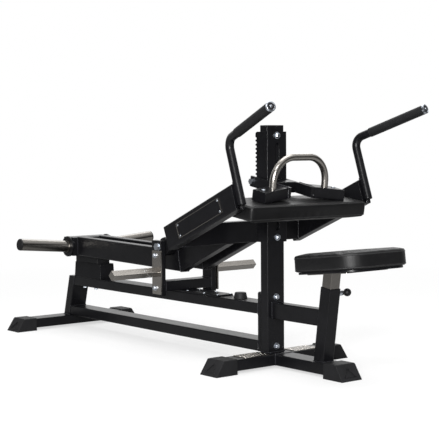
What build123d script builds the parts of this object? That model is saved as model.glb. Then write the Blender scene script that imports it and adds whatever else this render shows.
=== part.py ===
"""Plate-loaded seated press-down machine: floor frame, lever, thigh hold-down and sliding seat."""
import os
from math import cos, radians, sin, tan

from build123d import *

os.makedirs("parts", exist_ok=True)

# ---------------------------------------------------------------------------
# Driving dimensions, in millimetres and degrees
# X is ahead of the column's front face, Y = 0 is the middle, Z = 0 is the floor
# ---------------------------------------------------------------------------
COLUMN_FACE = 439.408       # column front face, ahead of the origin

WALL = 3.0                  # wall of the welded tubes
CORNER = 4.0                # outside corner radius of the welded tubes
TUBE_W = 80.0               # wide side of the frame tube
TUBE_H = 40.0               # narrow side of the frame tube
FIT = 0.2                   # slack each side of a sliding square tube
PIN_FIT = 0.05              # radial slack of a turning or sliding round pin
SOFT_GAP = 0.3              # slack between a soft piece and another body
BAR_CORNER = 2.0            # outside corner radius of the small bright tubes
OVERCUT = 1.0               # how far a cut runs past the skin it opens
EASED = 2.0                 # chamfer on moulded caps and pads

# floor bars and their rubber boots
BAR_LIFT = 11.0             # underside of the floor bars
BAR_HALF = 274.0            # middle of a cross bar to its end
SPINE_END = 348.7           # front end of the spine bar
REAR_BAR_X = -1371.9        # middle of the rear cross bar
BOOT_L = 94.4
BOOT_W = 93.3
BOOT_TOP_W = 90.8
BOOT_H = 54.4
BOOT_SLANT = 35.2
BOOT_SOCKET = 54.4
BOOT_EDGE = 5.0
RELIEF_DEEP = 2.0
RELIEF_W = 54.0
RELIEF_SIDE = 43.5          # sloping sides of the triangular recess
RELIEF_FOOT = 14.0
TREAD_IN = 60.0             # middle to the near edge of a tread plate
TREAD_L = 115.0
TREAD_W = 70.0
TREAD_T = 2.0

# column and rails
COLUMN_TOP = 866.0
CAP_T = 3.0
CAP_PLUG = 12.0
FLANGE_T = 15.0
FLANGE_TOP = 268.0
FLANGE_CORNER = 8.0
LOWER_RAIL_Z = 71.0         # centre height
UPPER_RAIL_Z = 207.0        # centre height
UPRIGHT_LEAN = 15.3         # rear upright, forwards from plumb
UPRIGHT_D = 45.0
BRACE_W = 40.0
BRACE_LOW = 173.0
BRACE_HIGH = 232.0

# seat sleeve, post and adjusting knob
SLEEVE_X = 247.5            # sleeve centre where it meets the spine bar
SLEEVE_LEAN = 8.1           # forwards from plumb
SLEEVE_W = 50.0
SLEEVE_L = 260.0
POST_INSET = 60.0           # post's lower end above the sleeve's foot
KNOB_AT = 237.5             # knob's place along the sleeve
BARREL_R = 12.0
BARREL_L = 27.0
BARREL_HEX_L = 10.8
BARREL_NECK_R = 9.0
STEM_R = 6.0
KNOB_COLLAR_R = 9.0
KNOB_COLLAR_L = 7.0
KNOB_TAPER = 8.0
KNOB_BALL_R = 14.0
KNOB_BALL_Y = 82.0
KNOB_GAP = 1.0
NOSE_SET_BACK = 0.4         # plunger nose inside the sleeve's wall

# seat
SEAT_X = 277.0              # reference point on the seat plate's underside
SEAT_Z = 358.0
SEAT_TILT = 6.3
PLATE_BACK = -7.0
PLATE_FRONT = 187.0
PLATE_HALF = 100.0
PLATE_T = 4.0
PLATE_CORNER = 10.0
BOARD_T = 7.5
BOARD_INSET = 8.0
SEAT_BACK = -10.0
SEAT_FRONT = 265.6
SEAT_HALF = 150.0
SEAT_T = 54.0
SEAT_NOSE_R = 88.0
SEAT_HEEL_R = 14.0
SEAT_EDGE = 12.0

# rack round the column
RACK_FACE = 8.0
RACK_SIDE_T = 6.0
RACK_REAR = -57.0
RACK_LOW = 450.0
RACK_HIGH = 846.0
RACK_CORNER = 10.0
RACK_EDGE = 3.0
TOOTH_PITCH = 15.0
TOOTH_DEEP = 6.0
NOTCH_MOUTH = 10.8
NOTCH_ROOT = 6.0
TOOTH_COUNT = 24
TOOTH_FIRST = 477.0
GROOVE_W = 20.0
GROOVE_LOW = 492.0
GROOVE_HIGH = 806.0

# thigh hold-down carriage
CARRIAGE_TILT = -10.5
CARRIAGE_X = 53.0           # point on the carriage bars' centre line
CARRIAGE_Z = 646.5
SIDE_GAP = 2.0              # carriage bar to rack flange
BAR_T = 10.0
BAR_D = 38.0
BAR_BACK = -73.0
BAR_FRONT = 136.5
BAR_NOSE_R = 4.0
PIN_R = 6.0
PIN_CLEAR = 0.3             # lock pin behind the tooth tips
NUT_FLAT = 19.0
NUT_L = 8.0
NUT_GAP = 0.5
CROSS_TUBE = 40.0
CROSS_TUBE_X = 33.5
PAD_ARM_X = 98.0            # pad arm centre where it meets the carriage bar
PAD_ARM_SWEEP = 12.2
PAD_ARM_DIP = 6.4
PAD_ARM_W = 68.5
PAD_ARM_H = 40.0
PAD_ARM_TOP = 18.0          # top face above the carriage bar's centre line
PAD_ARM_END = 186.0
LOOP_X = 123.0               # grab loop's feet
LOOP_LEAN = 7.0              # loop, forwards from plumb
LOOP_FOOT = 640.0
LOOP_HALF = 122.0
LOOP_RISE = 116.0            # feet to the top bar's centre line
LOOP_R = 12.5
LOOP_WALL = 2.0
LOOP_BEND = 86.0
THIGH_BACK = 19.0
THIGH_FRONT = 184.5
THIGH_HALF = 266.0
THIGH_Z = 617.0             # top at the rear edge
THIGH_TILT = -7.9
THIGH_T = 56.0
THIGH_CORNER = 8.0
THIGH_EDGE = 7.0

# yoke and pivot
PIVOT_X = -535.0
PIVOT_Z = 408.0
PIVOT_R = 8.0
PIVOT_FLAT = 24.0
PIVOT_HEAD_L = 9.0
WASHER_R = 14.0
WASHER_T = 2.5
YOKE_X = -549.0
YOKE_D = 60.0
YOKE_T = 25.0
YOKE_IN = 112.0             # middle to the inner face of an upright
YOKE_LOW = 217.0
YOKE_TOP = 431.0
YOKE_CAP = 4.0
BASE_T = 6.0
BASE_FRONT = -293.0
YOKE_BEAM_TOP = 272.0
PEG_PLATE_X = -539.5
PEG_PLATE_W = 57.0
PEG_PLATE_LOW = 223.0
PEG_PLATE_HIGH = 393.0
PEG_PLATE_T = 5.0
PEG_X = -542.0
PEG_Z = 309.0
PEG_SIDE = 28.0
PEG_END = 349.0
HUB_R = 36.0
HUB_WALL = 6.0
HUB_HALF = 101.0
BUSH_FLANGE_T = 8.0
BUSH_L = 25.0
BUSH_RIM = 2.0              # hub's edge to the bush flange's edge

# lever
BEAM_D = 80.0
BEAM_T = 40.0
BEAM_Y = 55.0               # middle to a lever beam's centre
BEAM_Z = 353.0              # centre line under the pivot
BEAM_FALL = -1.1            # rear beams, from rear to front
RISE = 23.5                 # forward tubes
RISE_LOW_X = -229.0         # point on the forward tubes' lower edge
RISE_LOW_Z = 418.0
CARRIER_FRONT = -1215.0
CARRIER_W = 80.0
CARRIER_HALF = 95.0
CARRIER_Z = 364.0
CARRIER_WALL = 6.0
COLLAR_R = 44.0
COLLAR_T = 8.0
HORN_R = 25.0
HORN_RISE = 5.0
HORN_SHOULDER_R = 27.0
HORN_SHOULDER_L = 6.0
HORN_END = 334.0            # middle to the horn's cap
HORN_CAP_R = 24.5
HORN_CAP_L = 6.0
CROSS_FRONT = -187.0
CROSS_LOW = 436.0
CROSS_D = 40.0
CROSS_H = 80.0
ARM_CLEAR = 12.0            # thigh pad's end to a side arm
ARM_T = 40.0
ARM_D = 88.0
ARM_RISE = 22.7
ARM_X = -30.0               # point on the side arms' centre line
ARM_Z = 551.3
ARM_BACK = -233.0           # rear end on the centre line
ARM_SEAT = 4.0              # how deep the handle tube sits in the arm's end
BADGE_X = -42.0
BADGE_L = 262.0
BADGE_H = 56.0
BADGE_T = 1.5

# handles
HANDLE_R = 15.0
HANDLE_WALL = 2.5
HANDLE_LOW = (170.0, 600.0)     # lower end: X, Z
HANDLE_BEND = (98.0, 816.5)    # corner of the bend: X, Z
HANDLE_TIP = (390.0, 921.0)     # upper end: X, Z
HANDLE_SPREAD = 61.0            # upper end outwards of the lower
HANDLE_BEND_R = 36.0
GRIP_R = 17.0
GRIP_START = 74.0
CAP_L = 7.0

# rest, bumper
REST_BACK = -1305.0
REST_FRONT = -1100.0
REST_HALF = 38.0
REST_TOP = 292.0
REST_TAPER = 3.5
REST_PAD_BACK = -1300.0
REST_PAD_FRONT = -1130.0
REST_PAD_HALF = 33.0
BUMPER_BACK = 147.0         # rail flange to the bumper's middle
BUMPER_R = 26.0
BUMPER_TOP_R = 21.0
BUMPER_H = 23.0

# ---------------------------------------------------------------------------
# Values that follow from them
# ---------------------------------------------------------------------------
BAR_Z = BAR_LIFT + TUBE_H / 2
BAR_TOP = BAR_LIFT + TUBE_H
RAIL_TOP = UPPER_RAIL_Z + TUBE_H / 2
COLUMN_D = TUBE_W / 2
POST_W = SLEEVE_W - 2 * WALL - 2 * FIT
CROSS_HALF = THIGH_HALF + ARM_CLEAR
BUMPER_X = -COLUMN_D - FLANGE_T - BUMPER_BACK
ARM_Y = CROSS_HALF + ARM_T / 2
YOKE_OUT = YOKE_IN + YOKE_T
CARRIAGE_IN = TUBE_W / 2 + RACK_SIDE_T + SIDE_GAP
CARRIAGE_OUT = CARRIAGE_IN + BAR_T
PIN_X = RACK_REAR - PIN_CLEAR - PIN_R
REACH = SPINE_END - REAR_BAR_X  # longer than any tube before its ends are cut


def carriage_z(x):
    """Height of the carriage bars' centre line."""
    return CARRIAGE_Z + (x - CARRIAGE_X) * tan(radians(CARRIAGE_TILT))


def beam_z(x):
    """Height of the rear beams' centre line."""
    return BEAM_Z + (x - PIVOT_X) * tan(radians(BEAM_FALL))


def arm_z(x):
    """Height of the side arms' centre line."""
    return ARM_Z + (x - ARM_X) * tan(radians(ARM_RISE))


def along(angle):
    """Direction in side view, angle degrees above straight ahead."""
    return Vector(cos(radians(angle)), 0, sin(radians(angle)))


def level(z):
    """Plan plane at height z; local x is ahead of the column face."""
    return Plane(origin=(COLUMN_FACE, 0, z))


def station(x):
    """Front-view plane; local x is Y and local y is height."""
    return Plane(origin=(COLUMN_FACE + x, 0, 0), x_dir=(0, 1, 0), z_dir=(1, 0, 0))


def side(y):
    """Side-view plane at y; local x is ahead of the column face and local y is height."""
    return Plane(origin=(COLUMN_FACE, y, 0), x_dir=(1, 0, 0), z_dir=(0, -1, 0))


def side_at(x, z):
    """Side-view plane in the middle, centred on a point."""
    return Plane(origin=(COLUMN_FACE + x, 0, z), x_dir=(1, 0, 0), z_dir=(0, -1, 0))


def section(x, y, z, angle):
    """Section plane of a beam that runs at angle in side view; local x is Y."""
    return Plane(origin=(COLUMN_FACE + x, y, z), x_dir=(0, 1, 0), z_dir=along(angle))


def cut(x, z, angle):
    """Cutting plane seen edge-on in side view, facing the way angle points."""
    return section(x, 0, z, angle)


def wall_at(y, facing):
    """Upright cutting plane at y that faces +Y or -Y."""
    return Plane(origin=(COLUMN_FACE, y, 0), x_dir=(1, 0, 0), z_dir=(0, facing, 0))


def profile(points, plane):
    """Closed outline from its corners."""
    with BuildSketch(plane) as face:
        with BuildLine():
            Polyline(*points, close=True)
        make_face()
    return face.sketch


def run(plane, width, depth, ends, radius=0.0):
    """Solid run of a rectangular section both ways from a plane, ended by planes that face outwards."""
    with BuildPart() as length:
        with BuildSketch(plane):
            if radius > 0:
                RectangleRounded(width, depth, radius)
            else:
                Rectangle(width, depth)
        extrude(amount=REACH, both=True)
        for end in ends:
            split(bisect_by=end, keep=Keep.BOTTOM)
    return length.part


def tube(plane, width, depth, ends, caps=(0, 0), wall=WALL, radius=CORNER):
    """Box-section tube between two end planes; a cap is the thickness of a closed end, 0 is open."""
    inner_ends = [end.offset(-cap if cap > 0 else OVERCUT) for end, cap in zip(ends, caps)]
    with BuildPart() as hollow:
        add(run(plane, width, depth, ends, radius))
        add(run(plane, width - 2 * wall, depth - 2 * wall, inner_ends), mode=Mode.SUBTRACT)
    return hollow.part


def boot(mouth):
    """Rubber boot on a floor bar's end; the plane is its mouth, on the floor, facing outwards."""
    slant = Plane(
        origin=mouth.origin + mouth.z_dir * BOOT_L,
        x_dir=mouth.x_dir,
        z_dir=mouth.z_dir * BOOT_H + mouth.y_dir * BOOT_SLANT,
    )
    with BuildPart() as moulding:
        with BuildSketch(mouth) as outer:
            with BuildLine():
                Polyline(
                    (-BOOT_W / 2, 0), (BOOT_W / 2, 0), (BOOT_TOP_W / 2, BOOT_H), (-BOOT_TOP_W / 2, BOOT_H),
                    close=True,
                )
            make_face()
            fillet(outer.vertices().group_by(Axis.Y)[-1], radius=BOOT_EDGE)
        extrude(amount=BOOT_L)
        split(bisect_by=slant, keep=Keep.BOTTOM)
        with BuildSketch(mouth):
            with Locations((0, BAR_Z)):
                Rectangle(TUBE_W, TUBE_H)
        extrude(amount=BOOT_SOCKET, mode=Mode.SUBTRACT)
        with BuildSketch(slant):
            with Locations((0, RELIEF_FOOT)):
                Triangle(a=RELIEF_W, b=RELIEF_SIDE, c=RELIEF_SIDE, align=(Align.CENTER, Align.MIN))
        extrude(amount=-RELIEF_DEEP, mode=Mode.SUBTRACT)
    return moulding.part


# ---------------------------------------------------------------------------
# Floor frame
# ---------------------------------------------------------------------------
BAR_ENDS = [wall_at(BAR_HALF, 1), wall_at(-BAR_HALF, -1)]
BOOT_MOUTH = BAR_HALF - BOOT_SOCKET

with BuildPart() as front_foot_bar:
    add(tube(side_at(0, BAR_Z), TUBE_W, TUBE_H, BAR_ENDS))
front_foot_bar.part.label = "front_foot_bar"
export_step(front_foot_bar.part, "parts/front_foot_bar.step")

with BuildPart() as rear_foot_bar:
    add(tube(side_at(REAR_BAR_X, BAR_Z), TUBE_W, TUBE_H, BAR_ENDS))
rear_foot_bar.part.label = "rear_foot_bar"
export_step(rear_foot_bar.part, "parts/rear_foot_bar.step")

with BuildPart() as front_spine_bar:
    add(tube(section(0, 0, BAR_Z, 0), TUBE_W, TUBE_H, [cut(TUBE_W / 2, 0, 180), cut(SPINE_END, 0, 0)]))
front_spine_bar.part.label = "front_spine_bar"
export_step(front_spine_bar.part, "parts/front_spine_bar.step")

for end_name, bar_x in (("front", 0.0), ("rear", REAR_BAR_X)):
    with BuildPart() as foot_boots:
        for facing in (-1, 1):
            mouth_point = (COLUMN_FACE + bar_x, facing * BOOT_MOUTH, 0)
            add(boot(Plane(origin=mouth_point, x_dir=(-facing, 0, 0), z_dir=(0, facing, 0))))
    foot_boots.part.label = f"{end_name}_boots"
    export_step(foot_boots.part, f"parts/{end_name}_boots.step")

with BuildPart() as tip_boot:
    add(boot(Plane(origin=(COLUMN_FACE + SPINE_END - BOOT_SOCKET, 0, 0), x_dir=(0, 1, 0), z_dir=(1, 0, 0))))
tip_boot.part.label = "tip_boot"
export_step(tip_boot.part, "parts/tip_boot.step")

with BuildPart() as tread_plates:
    with BuildSketch(level(BAR_TOP)):
        with Locations((0, TREAD_IN + TREAD_L / 2), (0, -TREAD_IN - TREAD_L / 2)):
            RectangleRounded(TREAD_W, TREAD_L, CORNER)
    extrude(amount=TREAD_T)
tread_plates.part.label = "tread_plates"
export_step(tread_plates.part, "parts/tread_plates.step")

with BuildPart() as column:
    column_plane = Plane(origin=(COLUMN_FACE - COLUMN_D / 2, 0, BAR_TOP))
    column_ends = [Plane.XY.offset(COLUMN_TOP), Plane(origin=(0, 0, BAR_TOP), z_dir=(0, 0, -1))]
    add(tube(column_plane, COLUMN_D, TUBE_W, column_ends))
column.part.label = "column"
export_step(column.part, "parts/column.step")

with BuildPart() as column_cap:
    with BuildSketch(level(COLUMN_TOP)):
        with Locations((-COLUMN_D / 2, 0)):
            RectangleRounded(COLUMN_D, TUBE_W, CORNER)
    extrude(amount=CAP_T)
    chamfer(column_cap.edges().group_by(Axis.Z)[-1], length=CAP_T / 2)
    with BuildSketch(level(COLUMN_TOP)):
        with Locations((-COLUMN_D / 2, 0)):
            Rectangle(COLUMN_D - 2 * WALL, TUBE_W - 2 * WALL)
    extrude(amount=-CAP_PLUG)
column_cap.part.label = "column_cap"
export_step(column_cap.part, "parts/column_cap.step")

with BuildPart() as rail_flange:
    with BuildSketch(station(-COLUMN_D)):
        with Locations((0, (BAR_TOP + FLANGE_TOP) / 2)):
            Rectangle(TUBE_W, FLANGE_TOP - BAR_TOP)
    extrude(amount=-FLANGE_T)
    fillet(rail_flange.edges().filter_by(Axis.X).group_by(Axis.Z)[-1], radius=FLANGE_CORNER)
rail_flange.part.label = "rail_flange"
export_step(rail_flange.part, "parts/rail_flange.step")

# the rear upright leans forwards from the middle of the rear bar
upright_angle = 90 - UPRIGHT_LEAN
upright_plane = section(REAR_BAR_X, 0, BAR_TOP, upright_angle)
upright_face = Plane(
    origin=upright_plane.origin - upright_plane.y_dir * (UPRIGHT_D / 2),
    x_dir=(0, 1, 0),
    z_dir=upright_plane.y_dir,
)
rail_ends = [cut(-COLUMN_D - FLANGE_T, 0, 0), upright_face]

with BuildPart() as rear_upright:
    upright_ends = [Plane.XY.offset(RAIL_TOP), Plane(origin=(0, 0, BAR_TOP), z_dir=(0, 0, -1))]
    add(tube(upright_plane, TUBE_W, UPRIGHT_D, upright_ends, caps=(WALL, 0)))
rear_upright.part.label = "rear_upright"
export_step(rear_upright.part, "parts/rear_upright.step")

with BuildPart() as upper_rail:
    add(tube(section(0, 0, UPPER_RAIL_Z, 0), TUBE_W, TUBE_H, rail_ends))
upper_rail.part.label = "upper_rail"
export_step(upper_rail.part, "parts/upper_rail.step")

with BuildPart() as lower_rail:
    add(tube(section(0, 0, LOWER_RAIL_Z, 0), TUBE_W, TUBE_H, rail_ends))
lower_rail.part.label = "lower_rail"
export_step(lower_rail.part, "parts/lower_rail.step")

# ---------------------------------------------------------------------------
# Seat sleeve and its brace
# ---------------------------------------------------------------------------
sleeve_angle = 90 - SLEEVE_LEAN
sleeve_plane = section(SLEEVE_X, 0, BAR_TOP, sleeve_angle)
sleeve_back = sleeve_plane.origin + sleeve_plane.y_dir * (SLEEVE_W / 2)
sleeve_rear = Plane(origin=sleeve_back, x_dir=(0, 1, 0), z_dir=-sleeve_plane.y_dir)
sleeve_foot = Plane(origin=(0, 0, BAR_TOP), z_dir=(0, 0, -1))
knob_point = sleeve_plane.origin + sleeve_plane.z_dir * KNOB_AT
knob_plane = Plane(origin=(knob_point.X, 0, knob_point.Z), x_dir=sleeve_plane.y_dir, z_dir=(0, 1, 0))

with BuildPart() as seat_brace:
    brace_z = (BRACE_LOW + BRACE_HIGH) / 2
    add(tube(section(0, 0, brace_z, 0), BRACE_W, BRACE_HIGH - BRACE_LOW, [cut(0, 0, 180), sleeve_rear]))
seat_brace.part.label = "seat_brace"
export_step(seat_brace.part, "parts/seat_brace.step")

with BuildPart() as seat_sleeve:
    add(tube(sleeve_plane, SLEEVE_W, SLEEVE_W, [sleeve_plane.offset(SLEEVE_L), sleeve_foot]))
    with BuildSketch(knob_plane.offset(SLEEVE_W / 2)):
        Circle(STEM_R)
    extrude(amount=-WALL - OVERCUT, mode=Mode.SUBTRACT)
seat_sleeve.part.label = "seat_sleeve"
export_step(seat_sleeve.part, "parts/seat_sleeve.step")

with BuildPart() as pin_barrel:
    with BuildSketch(knob_plane.offset(SLEEVE_W / 2)):
        RegularPolygon(BARREL_R, 6)
        Circle(STEM_R, mode=Mode.SUBTRACT)
    extrude(amount=BARREL_HEX_L)
    with BuildSketch(knob_plane.offset(SLEEVE_W / 2)):
        Circle(BARREL_NECK_R)
        Circle(STEM_R, mode=Mode.SUBTRACT)
    extrude(amount=BARREL_L)
pin_barrel.part.label = "pin_barrel"
export_step(pin_barrel.part, "parts/pin_barrel.step")

with BuildPart() as pull_knob:
    nose = SLEEVE_W / 2 - WALL + NOSE_SET_BACK
    shoulder = SLEEVE_W / 2 + BARREL_L + KNOB_GAP
    with BuildSketch(knob_plane.offset(nose)):
        Circle(STEM_R - PIN_FIT)
    extrude(amount=KNOB_BALL_Y - nose)
    with BuildSketch(knob_plane.offset(shoulder)):
        Circle(KNOB_COLLAR_R)
    extrude(amount=KNOB_COLLAR_L, taper=KNOB_TAPER)
    with Locations(knob_plane.offset(KNOB_BALL_Y)):
        Sphere(KNOB_BALL_R)
pull_knob.part.label = "pull_knob"
export_step(pull_knob.part, "parts/pull_knob.step")

# ---------------------------------------------------------------------------
# Seat
# ---------------------------------------------------------------------------
seat_point = (COLUMN_FACE + SEAT_X, 0, SEAT_Z)
seat_plane = Plane(origin=seat_point, x_dir=along(SEAT_TILT), z_dir=along(SEAT_TILT + 90))

with BuildPart() as seat_post:
    post_ends = [seat_plane, Plane(origin=sleeve_plane.origin + sleeve_plane.z_dir * POST_INSET,
                                   x_dir=(0, 1, 0), z_dir=-sleeve_plane.z_dir)]
    add(tube(sleeve_plane, POST_W, POST_W, post_ends, radius=BAR_CORNER))
seat_post.part.label = "seat_post"
export_step(seat_post.part, "parts/seat_post.step")

with BuildPart() as seat_plate:
    with BuildSketch(seat_plane):
        with Locations(((PLATE_BACK + PLATE_FRONT) / 2, 0)):
            RectangleRounded(PLATE_FRONT - PLATE_BACK, 2 * PLATE_HALF, PLATE_CORNER)
    extrude(amount=PLATE_T)
seat_plate.part.label = "seat_plate"
export_step(seat_plate.part, "parts/seat_plate.step")


def seat_shape(height, inset):
    """Seat outline, round at the nose and nearly square at the heel."""
    with BuildSketch(seat_plane.offset(height)) as shape:
        with Locations(((SEAT_BACK + SEAT_FRONT) / 2, 0)):
            Rectangle(SEAT_FRONT - SEAT_BACK - 2 * inset, 2 * (SEAT_HALF - inset))
        fillet(shape.vertices().group_by(Axis.X)[-1], radius=SEAT_NOSE_R - inset)
        fillet(shape.vertices().group_by(Axis.X)[0], radius=SEAT_HEEL_R - inset)
    return shape.sketch


with BuildPart() as seat_board:
    extrude(seat_shape(PLATE_T, BOARD_INSET), amount=BOARD_T)
seat_board.part.label = "seat_board"
export_step(seat_board.part, "parts/seat_board.step")

with BuildPart() as seat_pad:
    extrude(seat_shape(PLATE_T + BOARD_T, 0), amount=SEAT_T)
    fillet(seat_pad.faces().sort_by(Axis((0, 0, 0), seat_plane.z_dir))[-1].edges(), radius=SEAT_EDGE)
seat_pad.part.label = "seat_pad"
export_step(seat_pad.part, "parts/seat_pad.step")

# ---------------------------------------------------------------------------
# Toothed rack round the column
# ---------------------------------------------------------------------------
with BuildPart() as rack_plate:
    with BuildSketch(level(RACK_LOW)):
        with BuildLine():
            Polyline(
                (RACK_REAR, -TUBE_W / 2), (0, -TUBE_W / 2), (0, TUBE_W / 2), (RACK_REAR, TUBE_W / 2),
                (RACK_REAR, TUBE_W / 2 + RACK_SIDE_T), (RACK_FACE, TUBE_W / 2 + RACK_SIDE_T),
                (RACK_FACE, -TUBE_W / 2 - RACK_SIDE_T), (RACK_REAR, -TUBE_W / 2 - RACK_SIDE_T),
                close=True,
            )
        make_face()
    extrude(amount=RACK_HIGH - RACK_LOW)
    fillet(rack_plate.edges().filter_by(Axis.Z).group_by(Axis.X)[-1], radius=RACK_EDGE)
    fillet(rack_plate.edges().filter_by(Axis.Y).group_by(Axis.X)[0], radius=RACK_CORNER)
    with BuildSketch(side(TUBE_W)):
        for tooth in range(TOOTH_COUNT):
            tooth_z = TOOTH_FIRST + tooth * TOOTH_PITCH
            with BuildLine():
                Polyline(
                    (RACK_REAR - OVERCUT, tooth_z - NOTCH_MOUTH / 2),
                    (RACK_REAR + TOOTH_DEEP, tooth_z - NOTCH_ROOT / 2),
                    (RACK_REAR + TOOTH_DEEP, tooth_z + NOTCH_ROOT / 2),
                    (RACK_REAR - OVERCUT, tooth_z + NOTCH_MOUTH / 2),
                    close=True,
                )
            make_face()
    extrude(amount=2 * TUBE_W, mode=Mode.SUBTRACT)
    with BuildSketch(station(0)):
        with Locations((0, (GROOVE_LOW + GROOVE_HIGH) / 2)):
            SlotOverall(GROOVE_HIGH - GROOVE_LOW, GROOVE_W, rotation=90)
    extrude(amount=RACK_FACE + OVERCUT, mode=Mode.SUBTRACT)
rack_plate.part.label = "rack_plate"
export_step(rack_plate.part, "parts/rack_plate.step")

# ---------------------------------------------------------------------------
# Thigh hold-down carriage
# ---------------------------------------------------------------------------
pin_z = carriage_z(PIN_X)
pin_plane = Plane(origin=(COLUMN_FACE + PIN_X, 0, pin_z), x_dir=(1, 0, 0), z_dir=(0, 1, 0))

with BuildPart() as lock_pin:
    with BuildSketch(pin_plane):
        Circle(PIN_R)
    extrude(amount=CARRIAGE_OUT + NUT_GAP + NUT_L, both=True)
    nut_in = CARRIAGE_OUT + NUT_GAP
    with BuildSketch(pin_plane.offset(nut_in), pin_plane.offset(-nut_in - NUT_L)):
        RegularPolygon(NUT_FLAT / 2, 6, major_radius=False)
    extrude(amount=NUT_L)
lock_pin.part.label = "lock_pin"
export_step(lock_pin.part, "parts/lock_pin.step")

for side_name, facing in (("left", -1), ("right", 1)):
    bar_mid = facing * (CARRIAGE_IN + CARRIAGE_OUT) / 2
    with BuildPart() as carriage_bar:
        bar_plane = section(CARRIAGE_X, bar_mid, CARRIAGE_Z, CARRIAGE_TILT)
        bar_ends = [
            cut(BAR_BACK, carriage_z(BAR_BACK), CARRIAGE_TILT + 180),
            cut(BAR_FRONT, carriage_z(BAR_FRONT), CARRIAGE_TILT),
        ]
        add(run(bar_plane, BAR_T, BAR_D, bar_ends))
        fillet(carriage_bar.edges().filter_by(Axis.Y).group_by(Axis.X)[0], radius=BAR_NOSE_R)
        with BuildSketch(pin_plane):
            Circle(PIN_R + PIN_FIT)
        extrude(amount=2 * CARRIAGE_OUT, both=True, mode=Mode.SUBTRACT)
    carriage_bar.part.label = f"carriage_bar_{side_name}"
    export_step(carriage_bar.part, f"parts/carriage_bar_{side_name}.step")

with BuildPart() as carriage_cross_tube:
    cross_point = (COLUMN_FACE + CROSS_TUBE_X, 0, carriage_z(CROSS_TUBE_X))
    cross_plane = Plane(origin=cross_point, x_dir=along(CARRIAGE_TILT), z_dir=(0, -1, 0))
    add(tube(cross_plane, CROSS_TUBE, CROSS_TUBE, [wall_at(CARRIAGE_IN, 1), wall_at(-CARRIAGE_IN, -1)]))
carriage_cross_tube.part.label = "carriage_cross_tube"
export_step(carriage_cross_tube.part, "parts/carriage_cross_tube.step")

# each pad arm sweeps forwards and dips outwards; its underside is cut to lie on the pad
arm_out = Vector(
    sin(radians(PAD_ARM_SWEEP)) * cos(radians(PAD_ARM_DIP)),
    cos(radians(PAD_ARM_SWEEP)) * cos(radians(PAD_ARM_DIP)),
    -sin(radians(PAD_ARM_DIP)),
)
arm_up = arm_out.cross(-along(CARRIAGE_TILT)).normalized()
pad_arm_root = Vector(COLUMN_FACE + PAD_ARM_X, CARRIAGE_OUT, carriage_z(PAD_ARM_X))
pad_arm_top = Plane(origin=pad_arm_root + arm_up * PAD_ARM_TOP, x_dir=arm_out, z_dir=arm_up)
pad_edge = (COLUMN_FACE + THIGH_BACK, 0, THIGH_Z)
pad_top = Plane(origin=pad_edge, x_dir=along(THIGH_TILT), z_dir=along(THIGH_TILT + 90))

with BuildPart() as pad_arm_right:
    with BuildSketch(Plane(
        origin=pad_arm_top.origin - arm_up * (PAD_ARM_H / 2), x_dir=arm_up.cross(arm_out), z_dir=arm_out
    )):
        RectangleRounded(PAD_ARM_W, PAD_ARM_H, CORNER)
    extrude(amount=2 * PAD_ARM_END, both=True)
    split(bisect_by=wall_at(CARRIAGE_OUT, 1), keep=Keep.TOP)
    split(bisect_by=wall_at(PAD_ARM_END, 1), keep=Keep.BOTTOM)
    split(bisect_by=pad_top, keep=Keep.TOP)
pad_arm_right.part.label = "pad_arm_right"
export_step(pad_arm_right.part, "parts/pad_arm_right.step")

with BuildPart() as pad_arm_left:
    mirror(pad_arm_right.part, about=Plane.XZ)
pad_arm_left.part.label = "pad_arm_left"
export_step(pad_arm_left.part, "parts/pad_arm_left.step")

with BuildPart() as assist_handle:
    loop_plane = Plane(
        origin=(COLUMN_FACE + LOOP_X, 0, LOOP_FOOT), x_dir=(0, 1, 0), z_dir=along(-LOOP_LEAN)
    )
    with BuildLine(loop_plane):
        FilletPolyline((0, LOOP_RISE), (LOOP_HALF, LOOP_RISE), (LOOP_HALF, -PAD_ARM_H), radius=LOOP_BEND)
    loop_top = loop_plane.origin + loop_plane.y_dir * LOOP_RISE
    with BuildSketch(Plane(origin=loop_top, z_dir=(0, 1, 0))):
        Circle(LOOP_R)
        Circle(LOOP_R - LOOP_WALL, mode=Mode.SUBTRACT)
    sweep()
    split(bisect_by=pad_arm_top, keep=Keep.TOP)
    mirror(about=Plane.XZ)
assist_handle.part.label = "assist_handle"
export_step(assist_handle.part, "parts/assist_handle.step")

with BuildPart() as thigh_pad:
    thigh_rear_low = THIGH_Z - THIGH_T / cos(radians(THIGH_TILT))
    thigh_drop = (THIGH_FRONT - THIGH_BACK) * tan(radians(THIGH_TILT))
    extrude(
        profile(
            [(THIGH_BACK, thigh_rear_low), (THIGH_FRONT, thigh_rear_low + thigh_drop),
             (THIGH_FRONT, THIGH_Z + thigh_drop), (THIGH_BACK, THIGH_Z)],
            side(0),
        ),
        amount=THIGH_HALF,
        both=True,
    )
    fillet(thigh_pad.edges().filter_by(Axis.Z), radius=THIGH_CORNER)
    fillet(thigh_pad.faces().sort_by(Axis.Z)[0].edges(), radius=THIGH_EDGE)
thigh_pad.part.label = "thigh_pad"
export_step(thigh_pad.part, "parts/thigh_pad.step")

# ---------------------------------------------------------------------------
# Yoke and pivot
# ---------------------------------------------------------------------------
pivot_plane = Plane(origin=(COLUMN_FACE + PIVOT_X, 0, PIVOT_Z), x_dir=(1, 0, 0), z_dir=(0, 1, 0))
yoke_back = YOKE_X - YOKE_D / 2

with BuildPart() as yoke_base_plate:
    with BuildSketch(level(RAIL_TOP)):
        with Locations(((yoke_back + BASE_FRONT) / 2, 0)):
            RectangleRounded(BASE_FRONT - yoke_back, TUBE_W, CORNER)
    extrude(amount=BASE_T)
yoke_base_plate.part.label = "yoke_base_plate"
export_step(yoke_base_plate.part, "parts/yoke_base_plate.step")

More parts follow.
